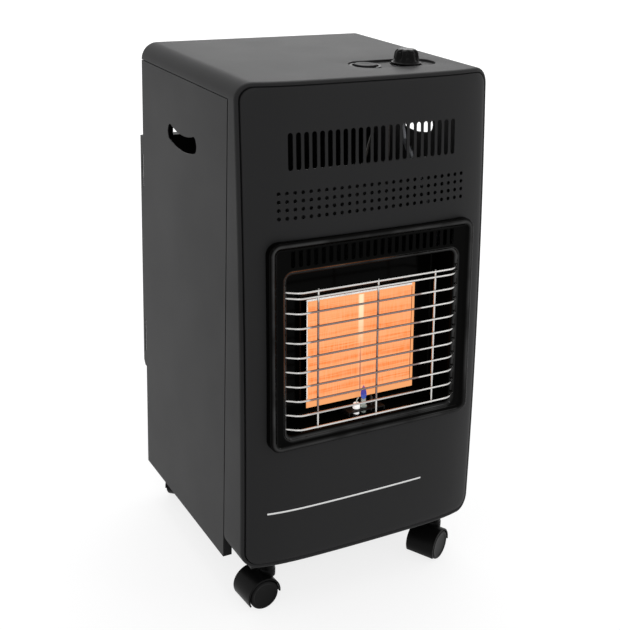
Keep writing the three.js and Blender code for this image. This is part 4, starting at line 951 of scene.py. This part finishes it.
# ---- controls ------------------------------------------------------------------------------------
class HEATER_OT_controls(bpy.types.Operator):
    """Gas knob with its fluted grip, and the ignition button"""
    bl_idname = "heater.controls"
    bl_label = "Knob and button"

    def execute(self, context):
        size = context.scene.heater_control
        x, y, flutes = mm(size.knob_x), mm(size.line_y), size.flutes
        skirt = strung([(0.0, 0.0), (17.9, 0.0)], arc(17.7, 0.8, 0.8, -90, 0, 3), [(18.5, 2.0)],
                       arc(17.3, 2.0, 1.2, 0, 80, 4),
                       bend((17.4, 3.2), (16.9, 3.5), (16.3, 4.0), (16.1, 5.2), 5))
        grip = strung([(16.1, 5.2), (15.9, 7.5), (15.5, 10.5), (15.0, 13.4)],
                      bend((15.0, 13.4), (14.4, 16.8), (12.2, 18.6), (8.0, 19.0), 9),
                      [(4.0, KNOB_TALL - 0.05), (0.0, KNOB_TALL)])
        profile = strung(skirt, grip)
        segments = 20 * flutes
        a = np.linspace(0, 2 * math.pi, segments, endpoint=False)[:, None]
        rad, h = profile[None, 1:-1, 0], profile[None, 1:-1, 1]
        # Flutes bite into the grip as a raised cosine, fading in above the skirt.
        bite = np.clip((h - 5.0) / 1.6, 0, 1) * np.clip((rad - 7.0) / 6.0, 0, 1)
        rad = rad - 2.6 * bite * (0.5 - 0.5 * np.cos(flutes * a)) ** 1.8
        points = xyz(rad * np.cos(a), rad * np.sin(a), h) + (x, y, KNOB_FOOT)
        skin = Skin()
        skin.grid(points, wrap_u=True)
        skin.fan(points[:, 0], (x, y, KNOB_FOOT))
        skin.fan(points[:, -1], (x, y, KNOB_FOOT + KNOB_TALL))
        make("knob_cap", skin, "Glossy plastic", body="knob", slot="plastic", replaces=("control_knob",),
             sharp=60)
        skin = Skin()
        bx = mm(size.button_x)
        cap = strung([(0.0, 657.0), (13.9, 657.0), (13.9, 669.6)], arc(12.7, 669.9, 1.2, 0, 90, 5),
                     bend((12.0, 671.2), (9.0, 671.1), (5.0, 670.3), (0.0, 670.2), 8))
        add_lathe(skin, cap, 48, lambda p: p + (bx, y, 0))
        make("button_cap", skin, "Button plastic", body="button", slot="button",
             replaces=("ignition_button",), sharp=50)
        return {"FINISHED"}


# ---- casters --------------------------------------------------------------------------------------
class HEATER_OT_casters(bpy.types.Operator):
    """Four twin-wheel casters with hooded yokes"""
    bl_idname = "heater.casters"
    bl_label = "Casters"

    def execute(self, context):
        size = context.scene.heater_caster
        r, trail, half = mm(size.radius), mm(size.trail), mm(size.half_track)
        for place, (x, y, turn) in CASTERS.items():
            c, s = math.cos(math.radians(turn)), math.sin(math.radians(turn))

            def set_down(p):
                return xyz(x + p[..., 0] * c - p[..., 1] * s, y + p[..., 0] * s + p[..., 1] * c, p[..., 2])

            def hoop(angle, reach, v):
                """Points round the axle, v along it."""
                return xyz(trail + reach * np.cos(angle), v, r + reach * np.sin(angle))

            name = f"caster_{place}"
            for side, letter in ((1, "a"), (-1, "b")):
                skin = Skin()
                inside, outside = 6.6, half
                rim = strung([(0, outside - 0.7), (r - 5.4, outside - 0.7)],
                             bend((r - 5.4, outside - 0.7), (r - 4.6, outside - 0.7),
                                  (r - 4.6, outside - 0.1), (r - 3.8, outside - 0.1), 5),
                             [(r - 2.6, outside - 0.1)], arc(r - 2.4, outside - 2.4, 2.4, 88, 0, 7),
                             [(r, inside + 1.0)], arc(r - 1.0, inside + 1.0, 1.0, 0, -90, 4),
                             [(2.8, inside), (0.0, inside)])

                def on_axle(p):
                    # Turned profile's height runs out along the axle.
                    return set_down(xyz(trail + p[..., 0], side * p[..., 2], r + p[..., 1]))

                add_lathe(skin, rim, 48, on_axle)
                make(f"{name}_tyre_{letter}", skin, "Wheel plastic", body=f"{name}_wheel_{letter}",
                     slot="wheel", replaces=(f"{name}_wheel_{letter}",), sharp=35)
            skin = Skin()
            outer, inner = r + 3.5, r + 1.5
            a = np.radians(np.linspace(-28, 182, 36))[:, None]
            lap = np.array([-half, -half + 0.7, -3, 3, half - 0.7, half])
            bulge = np.array([-0.7, 0.0, 0.0, 0.0, 0.0, -0.7])
            hood_out, hood_in = hoop(a, outer + bulge, lap), hoop(a, inner, lap[::-1])
            loop = np.concatenate([hood_out, hood_in], axis=1)
            skin.grid(loop, wrap_v=True)
            n = len(lap)
            i = np.arange(n - 1)
            for k in (0, -1):
                skin.add(loop[k], np.stack([i, i + 1, 2 * n - 2 - i, 2 * n - 1 - i], axis=1))
            # Web between the wheels.
            b = np.radians(np.linspace(0, 360, 48, endpoint=False))
            ring = hoop(b, r + 1.8, 0.0)
            ring[:, 2] = np.maximum(ring[:, 2], r * 0.45)
            sides = [ring + (0, v, 0) for v in (-6.0, 6.0)]
            skin.grid(np.stack(sides), wrap_v=True)
            for rim_points in sides:
                skin.fan(rim_points, rim_points.mean(axis=0))
            neck = strung([(0, 36), (10.6, 36), (10.6, 44.5)],
                          bend((10.6, 44.5), (10.0, 45.5), (10.0, 46.2), (10.0, 47.5), 3),
                          [(10.0, 61.8)], arc(9.2, 62.0, 0.8, 0, 90, 3),
                          [(4.0, 62.8), (4.0, 70.0), (0, 70.0)])
            add_lathe(skin, neck, 32)
            skin.moved(set_down)
            make(f"{name}_hood", skin, "Caster plastic", body=name, slot="plastic",
                 replaces=(f"{name}_yoke",), sharp=40)
        return {"FINISHED"}


# ---- stage ---------------------------------------------------------------------------------------
def seen(net):
    """1 for what the camera sees, straight, mirrored or through glass, and 0 for what lights."""
    path = net.add("ShaderNodeLightPath").outputs
    mirrored = net.math("MAXIMUM", path["Is Glossy Ray"], path["Is Transmission Ray"])
    return net.math("MAXIMUM", path["Is Camera Ray"], mirrored)


class HEATER_OT_stage(bpy.types.Operator):
    """Pale floor, soft studio light and the camera"""
    bl_idname = "heater.stage"
    bl_label = "Stage"

    def execute(self, context):
        scene = context.scene
        # Where the camera stands, in degrees and millimetres, and its picture, in pixels.
        az, el, roll = math.radians(-28.90), math.radians(19.27), math.radians(2.0)
        away, focal, offset, tall = 1475.3, 1121.88, -60.0, 630.0
        back = Vector((math.sin(az) * math.cos(el), -math.cos(az) * math.cos(el), math.sin(el)))
        right = Vector((0, 0, 1)).cross(back).normalized()
        up = back.cross(right)
        across = math.cos(roll) * right + math.sin(roll) * up
        above = -math.sin(roll) * right + math.cos(roll) * up
        camera = bpy.data.cameras.new("camera")
        camera.sensor_width = 36.0
        camera.lens = focal / tall * camera.sensor_width
        camera.shift_y = offset / tall
        camera.clip_end = 50.0
        eye = put("camera", camera)
        turn = Matrix((across, above, back)).transposed().to_4x4()
        aim = Vector((-3.65, SHIFT, 411.04)) * MM
        eye.matrix_world = Matrix.Translation(aim + back * away * MM) @ turn
        scene.camera = eye
        # Floor that is white to the camera and to reflections, and keeps the shadow.
        floor_mesh = bpy.data.meshes.new("floor")
        a = np.linspace(0, 2 * math.pi, 64, endpoint=False)
        rings = np.array([0.5, 1.5, 4.0, 9.0])[:, None]
        under = -0.0002
        points = xyz(rings * np.cos(a), rings * np.sin(a), under)
        skin = Skin().grid(points, wrap_v=True)
        skin.fan(points[0], (0, 0, under))
        floor_mesh.from_pydata(np.vstack(skin.points).tolist(), [], skin.faces)
        floor = put("floor", floor_mesh)
        net = blank("Pale floor", {"Roughness": 0.9, "Specular IOR Level": 0.1, "Emission Strength": 1.0})
        net.into("Base Color", net.ramp(net.noise(net.place(), 3.0, 2.0), (0.3, 0.25), (0.7, 0.27)))
        far = net.add("ShaderNodeVectorMath", {0: net.place()}, operation="LENGTH").outputs["Value"]
        pale = net.ramp(net.math("DIVIDE", far, 3.0), (0.05, 0.80), (0.45, 0.92), (1.0, 1.0))
        net.into("Emission Color", net.mix(seen(net), (0.0, 0.0, 0.0), pale))
        floor.data.materials.append(LOOKS["Pale floor"])
        # World: white to the camera, softer for what it lights.
        world = bpy.data.worlds.new("studio")
        scene.world = world
        world.use_nodes = True
        net = Net(world.node_tree)
        sky = world.node_tree.nodes["Background"]
        world.node_tree.links.new(net.mix(seen(net), (0.60, 0.60, 0.605), (1.0, 1.0, 1.0)),
                                  sky.inputs["Color"])
        sky.inputs["Strength"].default_value = 1.0
        # Softboxes: place, height aimed at, width and height in metres, power in watts.
        for name, place, aim_z, wide, high, power in (
                ("overhead", (0.3, 0.7, 2.6), 0.5, 1.8, 1.4, 18),
                ("rear_right", (1.5, 2.6, 1.9), 0.5, 1.6, 1.0, 7.5),
                ("front_key", (-1.1, -2.3, 2.2), 0.5, 0.5, 0.5, 5),
                ("front_right", (1.8, -2.2, 1.5), 0.4, 0.5, 0.8, 3)):
            light = bpy.data.lights.new(name, "AREA")
            light.shape = "RECTANGLE"
            light.size, light.size_y, light.energy = wide, high, power
            lamp = put(name, light)
            lamp.location = place
            toward = Vector((0, 0, aim_z)) - Vector(place)
            lamp.rotation_euler = toward.to_track_quat("-Z", "Y").to_euler()
        scene.view_settings.view_transform = "Standard"
        return {"FINISHED"}


# ---- panel, registration and the run -----------------------------------------------------------
STEPS = (HEATER_OT_finishes, HEATER_OT_stage, HEATER_OT_hood, HEATER_OT_front, HEATER_OT_bezel,
         HEATER_OT_guard, HEATER_OT_pilot, HEATER_OT_controls, HEATER_OT_casters)
SIZES = {"heater_cabinet": HeaterCabinetSizes, "heater_burner": HeaterBurnerSizes,
         "heater_control": HeaterControlSizes, "heater_caster": HeaterCasterSizes,
         "heater_finish": HeaterFinishes}


class HEATER_PT_panel(bpy.types.Panel):
    """Sizes, colours and steps of the heater"""
    bl_idname = "HEATER_PT_panel"
    bl_label = "Gas cabinet heater"
    bl_space_type = "VIEW_3D"
    bl_region_type = "UI"
    bl_category = "Heater"

    def draw(self, context):
        for step in STEPS:
            self.layout.operator(step.bl_idname)
        for name, group in SIZES.items():
            column = self.layout.column()
            for key in group.__annotations__:
                column.prop(getattr(context.scene, name), key)


def register():
    for kind in (*SIZES.values(), *STEPS, HEATER_PT_panel):
        bpy.utils.register_class(kind)
    for name, group in SIZES.items():
        setattr(bpy.types.Scene, name, PointerProperty(type=group))


def unregister():
    for name in SIZES:
        delattr(bpy.types.Scene, name)
    for kind in reversed((*SIZES.values(), *STEPS, HEATER_PT_panel)):
        bpy.utils.unregister_class(kind)


def main():
    register()
    for step in STEPS:
        area, call = step.bl_idname.split(".")
        getattr(getattr(bpy.ops, area), call)()


if __name__ == "__main__":
    main()
